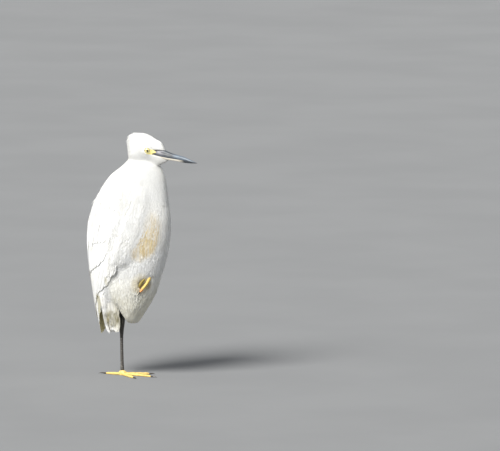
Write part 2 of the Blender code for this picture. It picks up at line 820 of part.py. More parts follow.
def build_wing(parts, cutters, side, name):
    wing = wing_core(name, parts, side)
    vanes = collection("vanes")
    for tier, count, roots, tips, half_width, lift in TIERS:
        for i in range(count):
            t = i / (count - 1)
            share = 0.07 + 0.86 * t
            root = roots[0] + (roots[1] - roots[0]) * t
            tip = tips[0] + (tips[1] - tips[0]) * t**1.3
            tip += 0.0025 * math.sin(2.4 * i + count)
            wing_vane(f"{tier} {i}", vanes, side, share, root, tip, half_width, lift)
    join(wing, vanes)
    cut(wing, [trunk_solid("trunk_room", cutters, GAP)])
    rooms = collection("plume_rooms")
    plumes(rooms, side, GAP)
    apply_boolean(wing, "DIFFERENCE", pieces=rooms)
    remove_all(rooms)
    keep_largest(wing)


def tail_vane(name, where, pair, side):
    """One tail feather. Each pair lies under the pair inside it."""
    share = side * (pair + 0.5) / TAIL_PAIRS
    turn = 0.22 * share
    top, bottom = [], []
    for s, wide, _ in VANE_ROWS:
        spread = TAIL_ROOT_SPREAD + (TAIL_TIP_SPREAD - TAIL_ROOT_SPREAD) * s
        middle = TAIL_ROOT.lerp(TAIL_TIP, s)
        middle.x += TAIL_STEP * pair + (0.0003 if side > 0 else 0) - 0.0018 * math.sin(math.pi * s)
        middle.y = share * spread
        middle.z += 0.0030 * abs(share) ** 2 * s
        across = Vector((math.sin(turn) * side * 0.3, math.cos(turn), math.sin(turn) * 0.15))
        row_top, row_bottom = [], []
        for j in (-1, 0, 1):
            thick = VANE_SHAFT if j == 0 else VANE_EDGE
            at = middle + across * (TAIL_VANE * wide * j)
            at.x += 0.0005 * j * side
            row_top.append(at - Vector((thick, 0, 0)))
            row_bottom.append(at.copy())
        top.append(row_top)
        bottom.append(row_bottom)
    return slab(name, top, bottom, where, "plumage")


def build_tail(parts, cutters):
    rings = []
    for s, wide, deep in ((0, 1, 1), (0.25, 1, 0.9), (0.45, 0.85, 0.65), (0.60, 0.5, 0.3)):
        middle = TAIL_ROOT.lerp(TAIL_TIP, s) + Vector((0.0032, 0, 0))
        ring = []
        for k in range(12):
            angle = math.tau * k / 12
            out = Vector((0.0055 * deep * math.cos(angle), 0.0105 * wide * math.sin(angle), 0))
            ring.append(middle + out)
        rings.append(ring)
    tail = loft("tail", rings, parts, "plumage")
    vanes = collection("tail_vanes")
    for pair in range(TAIL_PAIRS):
        for side in (1, -1):
            tail_vane(f"tail_vane_{pair}_{side}", vanes, pair, side)
    join(tail, vanes)
    cut(tail, [trunk_solid("trunk_room", cutters, GAP)])


def shank_room(where):
    return tube(
        "shank_room",
        [ANKLE, SHANK_FOOT],
        [SHANK_RADIUS + GAP] * 2,
        where,
        "shank",
        sides=12,
    )


def palm_solid(name, where, grow=0.0):
    size = PALM_SIZE + Vector((grow, grow, grow))
    palm = ball(name, Vector((0, 0, PALM_HEIGHT)), size, where, "toe", 16, 10)
    if not grow:
        keep_behind(palm, Vector((0, 0, 0)), Vector((0, 0, -1)))
    return palm


def build_standing_leg(parts, cutters):
    centres = [ANKLE.lerp(SHANK_FOOT, s) for s in (0, 0.1, 0.3, 0.5, 0.7, 0.9, 1)]
    for c, bow in zip(centres, (0, 0.3, 0.8, 1, 0.8, 0.3, 0)):
        c.x -= 0.0006 * bow
    swell = (1.30, 1.08, 1.0, 0.96, 1.0, 1.10, 1.28)
    shank = tube("shank_left", centres, [SHANK_RADIUS * w for w in swell], parts, "shank", 12)
    knob = collection("ankle")
    ball("ankle_knob", ANKLE, ANKLE_SIZE, knob, "shank", 12, 8)
    join(shank, knob)
    cut(shank, [palm_solid("room", cutters, GAP)])
    ends = [THIGH_TOP.lerp(ANKLE, s) for s in (0, 0.35, 0.7, 1)]
    thigh = tube("thigh_left", ends, [0.0040, 0.0034, THIGH_RADIUS, 0.0029], parts, "shank", 12)
    grown = ANKLE_SIZE + Vector((GAP, GAP, GAP))
    cut(
        thigh,
        [
            trunk_solid("room", cutters, GAP),
            ball("room", ANKLE, grown, cutters, "shank", 12, 8),
            tube("room", centres, [SHANK_RADIUS * w + GAP for w in swell], cutters, "shank", 12),
        ],
    )


def standing_toe(name, heading, length, joints, where, grow=0.0):
    turn = math.radians(heading)
    ahead = Vector((math.cos(turn), math.sin(turn), 0))
    aside = Vector((-ahead.y, ahead.x, 0))
    count = 9
    radii = toe_radii(count, joints, TOE_RADIUS, TOE_TIP_RADIUS)
    centres = []
    for i, radius in enumerate(radii):
        s = i / (count - 1)
        bend = 0.03 * length * math.sin(math.pi * s) * (1 if heading > 0 else -1)
        full = TOE_RADIUS + (TOE_TIP_RADIUS - TOE_RADIUS) * s
        at = ahead * (length * s) + aside * bend
        at.z = 0.80 * full * (1 if i < count - 1 else 0.8)
        centres.append(at)
    if grow:
        centres[-1] = centres[-1] + ahead * grow
    floor = 0.0 if not grow else None
    return tube(name, centres, [r + grow for r in radii], where, "toe", 8, floor)


def standing_claw(name, heading, toe_length, length, where):
    turn = math.radians(heading)
    ahead = Vector((math.cos(turn), math.sin(turn), 0))
    curve = ((-0.0016, 0.0014), (0.15, 0.00165), (0.4, 0.0019), (0.65, 0.0016), (0.85, 0.0009), (1, 0.0003))
    centres = []
    for s, height in curve:
        reach = toe_length + (s * length if s > 0 else s)
        centres.append(ahead * reach + Vector((0, 0, height)))
    return claw(name, centres, CLAW_RADIUS, where, floor=0.0)


def build_standing_foot(parts, cutters):
    palm_solid("foot_left", parts)
    done = []
    for name, heading, length, joints, claw_length in TOES:
        toe = standing_toe(f"toe_left_{name}", heading, length, joints, parts)
        rooms = [palm_solid("room", cutters, GAP)]
        for other in done:
            rooms.append(standing_toe("room", *other, cutters, GAP))
        cut(toe, rooms)
        done.append((heading, length, joints))
        nail = standing_claw(f"claw_left_{name}", heading, length, claw_length, parts)
        cut(nail, [standing_toe("room", heading, length, joints, cutters, GAP)])


def finish_shading(parts):
    for obj in parts.objects:
        obj.data.shade_smooth()
        obj.data.set_sharp_from_angle(angle=math.radians(40))


def main():
    clear_scene()
    parts = collection("little_egret")
    cutters = collection("cutters")
    build_head(parts, cutters)
    build_bill(parts, cutters)
    build_trunk(parts, cutters)
    build_wing(parts, cutters, 1, "wing_left")
    build_wing(parts, cutters, -1, "wing_right")
    build_tail(parts, cutters)
    build_standing_leg(parts, cutters)
    build_standing_foot(parts, cutters)
    build_tucked_foot(parts, cutters)
    finish_shading(parts)


main()
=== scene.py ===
"""Little egret, its looks: skin, plumage, bill, eyes, legs and feet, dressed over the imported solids."""

import math

import bmesh
import bpy
import numpy as np
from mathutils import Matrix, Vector
from mathutils.bvhtree import BVHTree
from mathutils.kdtree import KDTree


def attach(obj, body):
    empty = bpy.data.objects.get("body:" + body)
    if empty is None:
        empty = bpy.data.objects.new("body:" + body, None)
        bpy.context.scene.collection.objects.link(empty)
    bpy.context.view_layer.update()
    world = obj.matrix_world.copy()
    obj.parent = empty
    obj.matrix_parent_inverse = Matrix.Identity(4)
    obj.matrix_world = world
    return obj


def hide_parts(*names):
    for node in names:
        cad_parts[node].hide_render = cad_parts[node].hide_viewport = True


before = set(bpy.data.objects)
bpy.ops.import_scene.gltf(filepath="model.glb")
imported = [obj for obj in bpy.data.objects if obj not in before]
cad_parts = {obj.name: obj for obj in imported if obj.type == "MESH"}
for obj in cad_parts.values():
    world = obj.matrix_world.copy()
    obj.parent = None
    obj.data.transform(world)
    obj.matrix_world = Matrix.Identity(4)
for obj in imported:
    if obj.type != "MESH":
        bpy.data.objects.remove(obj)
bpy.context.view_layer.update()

# The photo's view: its size in pixels, the size of one pixel at the bird, and where the sole lies.
PICTURE_WIDE = 500
PICTURE_HIGH = 451
PIXEL = 0.0018
SOLE_PIXEL = (122.5, 375.0)
VIEW_AZIMUTH = 30
VIEW_ELEVATION = 7
VIEW_DISTANCE = 12.0
VIEW_FAR = 200
SENSOR = 36.0

# Light: each lamp's name, azimuth, elevation, spread, power and colour, then the sky's colour and strength.
LAMPS = [
    ("key", -9, 45, 26, 6.0, (1.0, 0.985, 0.955)),
    ("fill", 85, 15, 90, 0.22, (0.95, 0.97, 1.0)),
]
LAMP_DISTANCE = 3
SKY_COLOUR = (0.93, 0.96, 1.0, 1)
SKY_STRENGTH = 0.47
FLOOR_SIZE = 80

# Trunk and drawn-in neck: height, back, front, half width, pinch of the front half.
TRUNK = [
    (0.095, 0.016, 0.030, 0.007, 0.00),
    (0.103, 0.010, 0.0355, 0.015, 0.00),
    (0.118, -0.001, 0.0450, 0.024, 0.00),
    (0.127, -0.0065, 0.0515, 0.0285, 0.01),
    (0.137, -0.0215, 0.0580, 0.0325, 0.02),
    (0.155, -0.038, 0.0680, 0.039, 0.04),
    (0.180, -0.052, 0.0768, 0.0440, 0.06),
    (0.215, -0.060, 0.0886, 0.0490, 0.09),
    (0.255, -0.0630, 0.0965, 0.0515, 0.14),
    (0.290, -0.0590, 0.0980, 0.0508, 0.20),
    (0.320, -0.048, 0.0942, 0.0465, 0.25),
    (0.345, -0.034, 0.0914, 0.0405, 0.24),
    (0.365, -0.017, 0.0870, 0.034, 0.16),
    (0.380, 0.0035, 0.0785, 0.028, 0.06),
    (0.394, 0.018, 0.0645, 0.019, 0.00),
]

# The heights between which the skin's forms run: the trunk's, the wing's lower end and the flank's.
TRUNK_SPAN = 0.0965, 0.3925
WING_CORE_FOOT = 0.112
FLANK_FOOT, FLANK_HIGH = 0.122, 0.240

# Head: x, chin, crown, half width.
HEAD = [
    (0.0160, 0.3930, 0.4312, 0.0050),
    (0.0178, 0.3870, 0.4364, 0.0090),
    (0.0210, 0.3835, 0.4382, 0.0138),
    (0.0280, 0.3800, 0.4394, 0.0197),
    (0.0360, 0.3790, 0.4404, 0.0231),
    (0.0460, 0.3798, 0.4402, 0.0238),
    (0.0540, 0.3808, 0.4384, 0.0200),
    (0.0600, 0.3812, 0.4362, 0.0162),
    (0.0660, 0.3818, 0.4333, 0.0120),
    (0.0720, 0.3826, 0.4297, 0.0094),
    (0.0780, 0.3840, 0.4260, 0.0081),
    (0.0840, 0.3864, 0.4208, 0.0070),
    (0.0900, 0.3894, 0.4110, 0.0048),
    (0.0950, 0.3920, 0.3970, 0.0026),
]

# Bill: x, culmen, mouth line, keel, half width.
BILL = [
    (0.0700, 0.4150, 0.4040, 0.3975, 0.0084),
    (0.0800, 0.4140, 0.4018, 0.3962, 0.0071),
    (0.0900, 0.4118, 0.4002, 0.3953, 0.0060),
    (0.1000, 0.4085, 0.3990, 0.3947, 0.0051),
    (0.1150, 0.4050, 0.3975, 0.3935, 0.0041),
    (0.1295, 0.4021, 0.3961, 0.3918, 0.0033),
    (0.1390, 0.3988, 0.3947, 0.3914, 0.0026),
    (0.1490, 0.3953, 0.3934, 0.3916, 0.0015),
    (0.1563, 0.3930, 0.3925, 0.3920, 0.0004),
]
BILL_START = 0.0690
# Halves of the bill: name, whether it is the upper one, record slot and where its horn starts.
BILL_HALVES = [("upper", True, "bill_dark", BILL_START), ("lower", False, "bill_pale", 0.0700)]
# Points of a bill section round the horn and along its flat side, and the power that rounds the section.
BILL_SIDES = 18
BILL_FLAT = 5
ROUND_HORN = 0.85
NOSTRIL_LEVEL = 0.60
# Feathers of the forehead hang over the horn's sides down to this height: x and height.
BILL_CAP = (0.060, 0.070, 0.080, 0.087, 0.089), (0.4133, 0.4128, 0.4126, 0.4119, 0.4121)
# The bare skin before the eye ends at this line below, and at the cap above.
LORES_FOOT = (0.056, 0.070, 0.100), (0.4062, 0.4036, 0.3990)
BILL_BASE = np.array([0.080, 0.0, 0.405])
LIE_FROM = np.array([0.094, 0.0, 0.402])

EYE_AT = Vector((0.0600, 0.0126, 0.4115))
EYE_RADIUS = 0.0056
EYE_FACING = Vector((0.56, 0.82, -0.05)).normalized()
EYE_OPENING = 0.0043
PUPIL_RADIUS = 0.0019
IRIS_RADIUS = 0.0037
LID_RING = 0.0050
LID_THICK = 0.00058
# How far ahead of the eye's middle the skin round it lies, by distance from the eye's axis.
EYE_SOCKET = (
    (0.0034, 0.0042, 0.0050, 0.0058, 0.0075, 0.0100),
    (0.0012, 0.0024, 0.0033, 0.0035, 0.0033, 0.0028),
)

# Folded wing: height, back, front, half width, first and last angle from the spine.
WING = [
    (0.352, -0.030, 0.086, 0.0430, 50, 104),
    (0.335, -0.039, 0.088, 0.0490, 36, 115),
    (0.316, -0.0485, 0.089, 0.0535, 28, 115),
    (0.276, -0.0625, 0.093, 0.0590, 18, 107),
    (0.235, -0.0655, 0.091, 0.0590, 10, 98),
    (0.200, -0.0650, 0.085, 0.0550, 5, 89),
    (0.175, -0.0630, 0.066, 0.0480, 4, 82),
    (0.154, -0.0605, 0.044, 0.0400, 3, 75),
    (0.132, -0.0575, 0.020, 0.0315, 3, 64),
    (0.114, -0.0545, 0.003, 0.0260, 3, 64),
    (0.098, -0.0510, -0.008, 0.0215, 4, 65),
    (0.078, -0.0465, -0.016, 0.0165, 8, 58),
]
WING_TOP = 0.352
WING_MIDLINE = 0.0002

# Flight feathers and coverts: how far round the wing they reach, how blunt their tips are, how much they
# lean, how many splits their edges have, how much painted khaki shade their undersides carry, how deep the
# front ones dive.
FLIGHT = {"span": 0.90, "blunt": 0.10, "lean": 1.0, "fray": 2.2, "shade_khaki": 0.85, "dive": 0.0}
COVERT = {"span": 0.83, "blunt": 0.26, "lean": 0.8, "fray": 1.4, "shade_khaki": 0.2, "dive": 0.0016}
# Wing feathers in tiers: name, how many, root heights at the spine and the front, tip heights at
# both, half width, lift over the wing's outer shape, and their kind.
TIERS = [
    ("primaries", 9, (0.180, 0.186), (0.0735, 0.112), 0.0066, -0.0040, FLIGHT),
    ("secondaries", 10, (0.240, 0.244), (0.098, 0.166), 0.0100, -0.0029, FLIGHT),
    ("greater_coverts", 13, (0.300, 0.296), (0.172, 0.216), 0.0094, -0.0017, COVERT),
    ("median_coverts", 14, (0.322, 0.316), (0.226, 0.254), 0.0088, -0.0008, COVERT),
    ("lesser_coverts", 15, (0.334, 0.328), (0.270, 0.284), 0.0080, -0.0001, COVERT),
    ("lesser_coverts_high", 15, (0.343, 0.340), (0.302, 0.308), 0.0070, 0.0005, COVERT),
]
SHINGLE = 0.0007
VANE_SINK = 0.0034
QUILL_THICK = 0.0006
SHAFT_THICK = 0.0010

# Tail: a closed fan under the wing tips.
TAIL_ROOT = Vector((-0.0340, 0.0, 0.168))
TAIL_TIP = Vector((-0.0240, 0.0, 0.078))
TAIL_PAIRS = 6
TAIL_ROOT_SPREAD = 0.0080
TAIL_TIP_SPREAD = 0.0165
TAIL_VANE = 0.0064
TAIL_STEP = 0.0008
# The vent, from the belly's rear down to the tail's tip: height, back, front, half width.
VENT = [
    (0.170, -0.040, 0.000, 0.0340),
    (0.150, -0.039, -0.0055, 0.0315),
    (0.132, -0.0370, -0.0090, 0.0270),
    (0.115, -0.0350, -0.0105, 0.0222),
    (0.100, -0.0335, -0.0112, 0.0182),
    (0.085, -0.0315, -0.0120, 0.0158),
    (0.070, -0.0290, -0.0150, 0.0150),
]
# The skin's form under the vent: heights, and how much further inside it lies there.
VENT_CORE = (0.168, 0.155, 0.140, 0.125, 0.110, 0.099, 0.091), (0, 0, 0, 0, 0.0003, 0.0012, 0.0040)
# Undertail coverts in rows round the vent: root height, tip height, lift, how many, half width.
UNDERTAIL_ROWS = [
    (0.114, 0.0785, 0.0002, 12, 0.0054),
    (0.126, 0.0840, 0.0007, 13, 0.0058),
    (0.140, 0.0930, 0.0012, 15, 0.0062),
    (0.152, 0.1060, 0.0016, 17, 0.0066),
    (0.164, 0.1200, 0.0020, 19, 0.0070),
]
# The curtain: feathers that hang down beside the leg, in front of the vent's sides. First the heights, and
# how far out the feathers lie there. Then its rows: root height, tip height, lift. Last, where a row begins,
# where it ends on the right (-1) and on the left side (1), how many feathers it has and their half widths.
CURTAIN = (
    (0.075, 0.085, 0.100, 0.115, 0.130, 0.145, 0.160, 0.172),
    (0.0150, 0.0170, 0.0192, 0.0214, 0.0242, 0.0284, 0.0334, 0.0368),
)
CURTAIN_ROWS = [
    (0.132, 0.0820, -0.0008),
    (0.144, 0.0890, -0.0002),
    (0.158, 0.0990, 0.0003),
    (0.172, 0.1130, 0.0008),
]
CURTAIN_BACK = -0.0205
CURTAIN_FRONT = {-1: -0.0010, 1: -0.0105}
CURTAIN_COLUMNS = 7
CURTAIN_WIDTHS = 0.0040, 0.0052
# The hollow where the leg leaves the belly. Feathers round it are short.
LEG_HOLLOW = np.array([-0.006, 0.0, 0.122])

# Standing leg.
THIGH_TOP = Vector((0.0005, 0.0115, 0.150))
ANKLE = Vector((-0.0062, 0.0078, 0.0985))
SHANK_FOOT = Vector((-0.0004, 0.0004, 0.0060))
SHANK_RADIUS = 0.0027
# Shank: how far down from the ankle to the foot, and its width there over its radius.
SHANK_WIDTHS = [
    (-0.03, 2.20), (0.07, 1.98), (0.17, 1.50), (0.32, 1.06),
    (0.50, 0.96), (0.70, 1.0), (0.90, 1.10), (1, 1.28),
]
THIGH_RADII = (0.0048, 0.0046, 0.0048, 0.0059)
# One scute: how far along it, how raised, and how dark its groove is.
SCUTE = [(0.0, 0.3, 0.9), (0.12, 0.85, 0.3), (0.5, 1.0, 0.0), (0.88, 0.9, 0.1)]
PALM_SIZE = Vector((0.0070, 0.0062, 0.0066))
PALM_HEIGHT = 0.0030

# Toes: name, heading in degrees from straight ahead towards the left, length, joints, claw length.
TOES = [
    ("hind", 184, 0.0340, 1, 0.0150),
    ("inner", -33, 0.0470, 2, 0.0105),
    ("middle", 2, 0.0600, 3, 0.0110),
    ("outer", 38, 0.0500, 4, 0.0100),
]
TOE_RADIUS = 0.0028
TOE_TIP_RADIUS = 0.0019
CLAW_RADIUS = 0.0015
TOE_RINGS = 9
# A claw's line: how far along it, and height over the floor. It begins just inside the toe.
CLAW_LINE = [(-0.0016, 0.0014), (0.15, 0.00165), (0.4, 0.0019), (0.65, 0.0016), (0.85, 0.0009), (1, 0.0003)]

# Tucked foot, as places on the trunk: height, angle from straight ahead and lift over the trunk. Each toe has
# its line and how its claw runs on. Only the middle toe stands clear; the inner one shows in a pocket by it.
TUCKED_PALM = (0.1900, -24.5, -0.0060)
TUCKED_PALM_SIZE = 0.0043
TUCKED_SHANK_RADII = (0.0027, 0.0028, 0.0030, 0.0030)
TUCKED_TOES = [
    ("hind",
     [(0.1900, -24.5, -0.0045), (0.1915, -21, -0.0035), (0.1890, -18, -0.0035), (0.1860, -17, -0.0035)],
     [(0.1820, -18, -0.0035), (0.1790, -20.5, -0.0035)]),
    ("inner",
     [(0.1890, -27, -0.0050), (0.1840, -34.5, -0.0040), (0.1775, -41.5, -0.0020), (0.1705, -45.5, -0.0020),
      (0.1635, -47.5, -0.0046)],
     [(0.1600, -49, -0.0048), (0.1570, -49.5, -0.0048)]),
    ("middle",
     [(0.1900, -24.5, -0.0056), (0.1850, -26.6, -0.0040), (0.1805, -28.8, -0.0018), (0.1760, -31.3, 0.0000),
      (0.1720, -34, 0.0010), (0.1650, -39.2, 0.0013), (0.1570, -45, 0.0010)],
     [(0.1540, -47, 0.0010), (0.1512, -49, 0.0006)]),
    ("outer",
     [(0.1890, -23.5, -0.0050), (0.1800, -25.5, -0.0038), (0.1710, -30, -0.0036), (0.1630, -36, -0.0036)],
     [(0.1595, -38.5, -0.0036), (0.1570, -41, -0.0036)]),
]
TUCKED_TOE_RADIUS = 0.0027
TUCKED_TIP_RADIUS = 0.0022
TUCKED_CLAW_RADIUS = 0.0013
# A tucked toe shows where it lies higher than this, and the middle toe's orange end is here.
SHOWN_LIFT = -0.0022
ORANGE_END = (0.1575, -44.5, 0.0016)
KNUCKLE_TOP = (0.2040, -20, -0.0066)

# Stains and painted shade in the plumage: what they lie on, height, place on it, reach, share and colour. The
# place is an angle on the trunk, a share round the wing, or how far forward on the curtain. The side ones are
# all painted shade and lie on both sides.
FOOT_STAINS_AND_SHADE = [
    # A cream stain round the tucked foot.
    ("trunk", 0.171, -45, (0.023, 0.021, 0.025), 0.60, (0.84, 0.70, 0.38)),
    # Painted shade: the dark olive hollow of the pocket by the middle toe.
    ("trunk", 0.1725, -43, (0.0105, 0.0105, 0.0125), 0.92, (0.20, 0.145, 0.035)),
    # Painted shadow on the feathers beside the middle toe.
    ("trunk", 0.168, -28.5, (0.0080, 0.0080, 0.0120), 0.55, (0.36, 0.26, 0.12)),
    # Painted shade in the parting of the feathers above the toes.
    ("trunk", 0.184, -23.5, (0.0050, 0.0060, 0.0038), 0.60, (0.30, 0.26, 0.20)),
]
SIDE_PAINTED_SHADE = [
    # Painted khaki shade along the wing's lower front edge, where it stands off the tail.
    ("wing", 0.128, 1.06, (0.0085, 0.0085, 0.029), 0.90, (0.33, 0.29, 0.13)),
    ("wing", 0.106, 1.12, (0.0080, 0.0080, 0.028), 0.90, (0.30, 0.26, 0.10)),
    # Painted shade in the strip along the wing's front edge.
    ("wing", 0.168, 1.06, (0.0056, 0.0056, 0.026), 0.70, (0.52, 0.48, 0.31)),
    # Painted blue-grey shade in a gap between the wing's feathers.
    ("wing", 0.1615, 0.63, (0.0024, 0.0024, 0.015), 0.60, (0.46, 0.51, 0.55)),
    # Painted shade on the curtain beside the leg, deepest in its middle.
    ("curtain", 0.103, -0.011, (0.024, 0.015, 0.022), 1.0, (0.13, 0.12, 0.06)),
    # Painted lighter shade at the curtain's top.
    ("curtain", 0.122, -0.008, (0.018, 0.014, 0.026), 0.50, (0.46, 0.44, 0.35)),
]
# Tan of the breast's sides: height, angle, reach and share.
TAN_SIDES = [
    (0.240, 45, (0.020, 0.018, 0.025), 0.90),
    (0.227, 55, (0.020, 0.018, 0.019), 0.65),
    # This zone also paints warm light along the edge of the shade on the breast.
    (0.268, 38, (0.020, 0.022, 0.045), 0.42),
]

SKIN_VOXEL = 0.0015
PLUME_COUNT = 130
# Where the breast plumes fan out: heights and angles from straight ahead of the fan's two edges.
PLUME_FLANK = (
    (0.210, 0.222, 0.244, 0.257, 0.274, 0.295, 0.312, 0.325),
    (65, 64.5, 61, 55.5, 49.5, 41.5, 31, 26),
)
PLUME_FRONT = (0.210, 0.247, 0.273, 0.304, 0.325), (23, 27, 27.5, 24.5, 21)

# How the plumage changes with the distance from the bill's base: the distances, then coat depth, feather
# length and half width.
AWAY = (0.008, 0.018, 0.030, 0.045, 0.070, 0.110, 0.170, 0.240)
COAT_DEPTH = (0.0002, 0.0004, 0.0009, 0.0014, 0.0019, 0.0023, 0.0027, 0.0030)
FEATHER_LONG = (0.0024, 0.0040, 0.0060, 0.0085, 0.0120, 0.0170, 0.0220, 0.0260)
FEATHER_WIDE = (0.0004, 0.0007, 0.0010, 0.0014, 0.0020, 0.0028, 0.0037, 0.0045)
# How far the shading of a small feather's edges turns aside.
ROUNDING = 0.22

# Colours of the plumage, and how many barbs a feather shows.
FEATHER_WHITE = (0.93, 0.93, 0.905)
DOWN_WHITE = (0.86, 0.86, 0.83)
WARM_WHITE = (0.90, 0.885, 0.83)
# Cream of the lower belly: partly stain, partly painted warm light bounced from below.
BELLY_CREAM = (0.90, 0.865, 0.71)
BREAST_TAN = (0.74, 0.58, 0.30)
PLUME_TAN = (0.74, 0.57, 0.28)
# Painted khaki shade for the undersides of the wing feathers.
QUILL_SHADE_KHAKI = (0.70, 0.60, 0.26)
SHAFT_CREAM = (0.70, 0.66, 0.56)
BARBS_ALONG = 60

# Colours of the bare parts: two that a grain mixes, or three where the plain one stands before them.
SKIN_PLAIN = (0.9, 0.9, 0.87)
FACE_YELLOW = (0.78, 0.66, 0.20), (0.90, 0.82, 0.42)
FACE_CREASE = (0.50, 0.42, 0.16)
LID_YELLOW = (0.84, 0.76, 0.42), (0.74, 0.64, 0.28), (0.90, 0.84, 0.54)
EYE_PLAIN = (0.78, 0.70, 0.30)
IRIS_YELLOW = (0.82, 0.68, 0.17), (0.93, 0.87, 0.46)
IRIS_RIM = (0.10, 0.08, 0.04)
PUPIL_BLACK = (0.006, 0.006, 0.006)
HORN_PLAIN = (0.03, 0.035, 0.042)
HORN_BLACK = (0.020, 0.024, 0.030), (0.060, 0.070, 0.082)
HORN_CREAM = (0.86, 0.81, 0.70), (0.74, 0.67, 0.56)
HORN_GREY = (0.105, 0.102, 0.118), (0.175, 0.168, 0.192)
HORN_SLATE = (0.080, 0.102, 0.130), (0.145, 0.182, 0.225)
# Painted shade: the near-black of the nostril's opening.
NOSTRIL_SHADE_BLACK = (0.012, 0.011, 0.012), (0.008, 0.007, 0.008), (0.026, 0.023, 0.024)
CLAW_BLACK = (0.03, 0.026, 0.022), (0.020, 0.017, 0.015), (0.10, 0.085, 0.065)
LEG_BLACK = (0.014, 0.013, 0.012), (0.090, 0.082, 0.070)
# Painted glints: pale flecks standing for light caught on the leg's scales.
LEG_PAINTED_GLINTS = (0.34, 0.32, 0.28)
TOE_YELLOW = (0.84, 0.65, 0.20), (0.50, 0.31, 0.08)
# Painted shade: a darker, duller copy of the toe colours for the inner tucked toe, which lies in shade in its
# pocket.
TOE_PAINTED_SHADE = (0.38, 0.30, 0.075), (0.17, 0.12, 0.03)
TOE_ORANGE = (0.80, 0.33, 0.13)
FLOOR_GREY = (0.19, 0.194, 0.198), (0.184, 0.188, 0.192), (0.196, 0.200, 0.204)

# Where the bill's colours change along X: cream gives way to black, grey to black, and black to slate. Grey
# and slate lie over a line that falls forward by its slope, and are full at the second height. The lighter
# slate of the upper half's far part is a painted sheen of the sky on the black horn.
CREAM_ENDS = 0.122, 0.136
GREY_ENDS = 0.084, 0.098
SLATE_BEGINS = 0.104, 0.122
GREY_SLOPE, GREY_OVER = 0.19, (0.4186, 0.4212)
SLATE_SLOPE, SLATE_OVER = 0.135, (0.4140, 0.4160)

# The lower belly's cream, partly a stain and partly painted warm light bounced from below: it is full below
# the second height and ahead of the second place forward.
BELLY_STAIN_AND_BOUNCE_HEIGHTS = 0.225, 0.155
BELLY_STAIN_AND_BOUNCE_FORWARD = -0.012, 0.004
BELLY_STAIN_AND_BOUNCE_SHARE = 0.8

random = np.random.default_rng(11)


# Section: small helpers


def smoothstep(low, high, value):
    t = np.clip((np.asarray(value, float) - low) / (high - low), 0, 1)
    return t * t * (3 - 2 * t)


def mirrored(point, side):
    return Vector((point.x, point.y * side, point.z))


def unit(vectors):
    return vectors / np.maximum(np.linalg.norm(vectors, axis=-1, keepdims=True), 1e-12)


def eased(count):
    """Shares from 0 to 1, closer together at both ends."""
    return (1 - np.cos(np.linspace(0, math.pi, count))) / 2


def dense(stations, count=240):
    """The stations' columns on a smooth curve through them, sampled closely: keys, then columns."""
    rows = np.array(sorted(stations), float)
    keys = rows[:, 0]
    slopes = np.gradient(rows[:, 1:], keys, axis=0)
    places = np.linspace(keys[0], keys[-1], count)
    i = np.clip(np.searchsorted(keys, places, side="right") - 1, 0, len(keys) - 2)
    step = (keys[i + 1] - keys[i])[:, None]
    t = (places - keys[i])[:, None] / step
    low, high = rows[i, 1:], rows[i + 1, 1:]
    columns = (
        low * (2 * t**3 - 3 * t**2 + 1)
        + slopes[i] * step * (t**3 - 2 * t**2 + t)
        + high * (3 * t**2 - 2 * t**3)
        + slopes[i + 1] * step * (t**3 - t**2)
    )
    return places, columns


TRUNK_LINES = dense(TRUNK)
HEAD_LINES = dense(HEAD)
BILL_LINES = dense(BILL)
WING_LINES = dense(WING)
VENT_LINES = dense(VENT)


def read(lines, key):
    """The columns of sampled lines at these keys."""
    places, columns = lines
    return [np.interp(key, places, columns[:, i]) for i in range(columns.shape[1])]


def trunk_points(height, angle, lift):
    """Points on the trunk's surface: angle in degrees from straight ahead towards the left."""
    height = np.asarray(height, float)
    back, front, half_width, pinch = read(TRUNK_LINES, height)
    turn = np.radians(angle)
    middle, reach = (back + front) / 2, (front - back) / 2 + lift
    across = (half_width + lift) * np.sin(turn)
    across = across * (1 - pinch * np.maximum(0.0, np.cos(turn)) ** 2)
    return np.stack(np.broadcast_arrays(middle + reach * np.cos(turn), across, height), axis=-1)


def trunk_at(height, angle, lift):
    return Vector(trunk_points(height, angle, lift))


def vent_points(height, angle, lift):
    """Points round the vent: angle in radians from straight ahead towards the left."""
    back, front, half_width = read(VENT_LINES, height)
    middle, reach = (back + front) / 2, (front - back) / 2 + lift
    x = middle + reach * np.cos(angle)
    y = (half_width + lift) * np.sin(angle)
    return np.stack(np.broadcast_arrays(x, y, height), axis=-1)


def wing_points(height, share, side, lift):
    """Points of the folded wing: share runs from the spine edge to the front edge."""
    height = np.asarray(height, float)
    back, front, half_width, first, last = read(WING_LINES, height)
    angle = np.maximum(np.radians(first + (last - first) * share), np.arcsin(WING_MIDLINE / half_width))
    middle, reach = (back + front) / 2, (front - back) / 2 + lift
    across = np.maximum((half_width + lift) * np.sin(angle), WING_MIDLINE)
    x = middle - reach * np.cos(angle)
    return np.stack(np.broadcast_arrays(x, side * across, height), axis=-1)


def stain_and_shade_place(lies_on, height, round_by, side):
    """Where one of the stains and patches of painted shade lies, for this side of the bird."""
    if lies_on == "trunk":
        return trunk_at(height, round_by, 0.0)
    if lies_on == "wing":
        return Vector(wing_points(height, round_by, side, 0.0))
    return Vector((round_by, side * np.interp(height, *CURTAIN), height))


def wing_share(points):
    """How far round the folded wing each point lies: 0 at the spine edge, 1 at the front edge."""
    back, front, half_width, first, last = read(WING_LINES, points[:, 2])
    middle, reach = (back + front) / 2, (front - back) / 2
    angle = np.degrees(np.arctan2(np.abs(points[:, 1]) / half_width, (middle - points[:, 0]) / reach))
    return (angle - first) / (last - first)


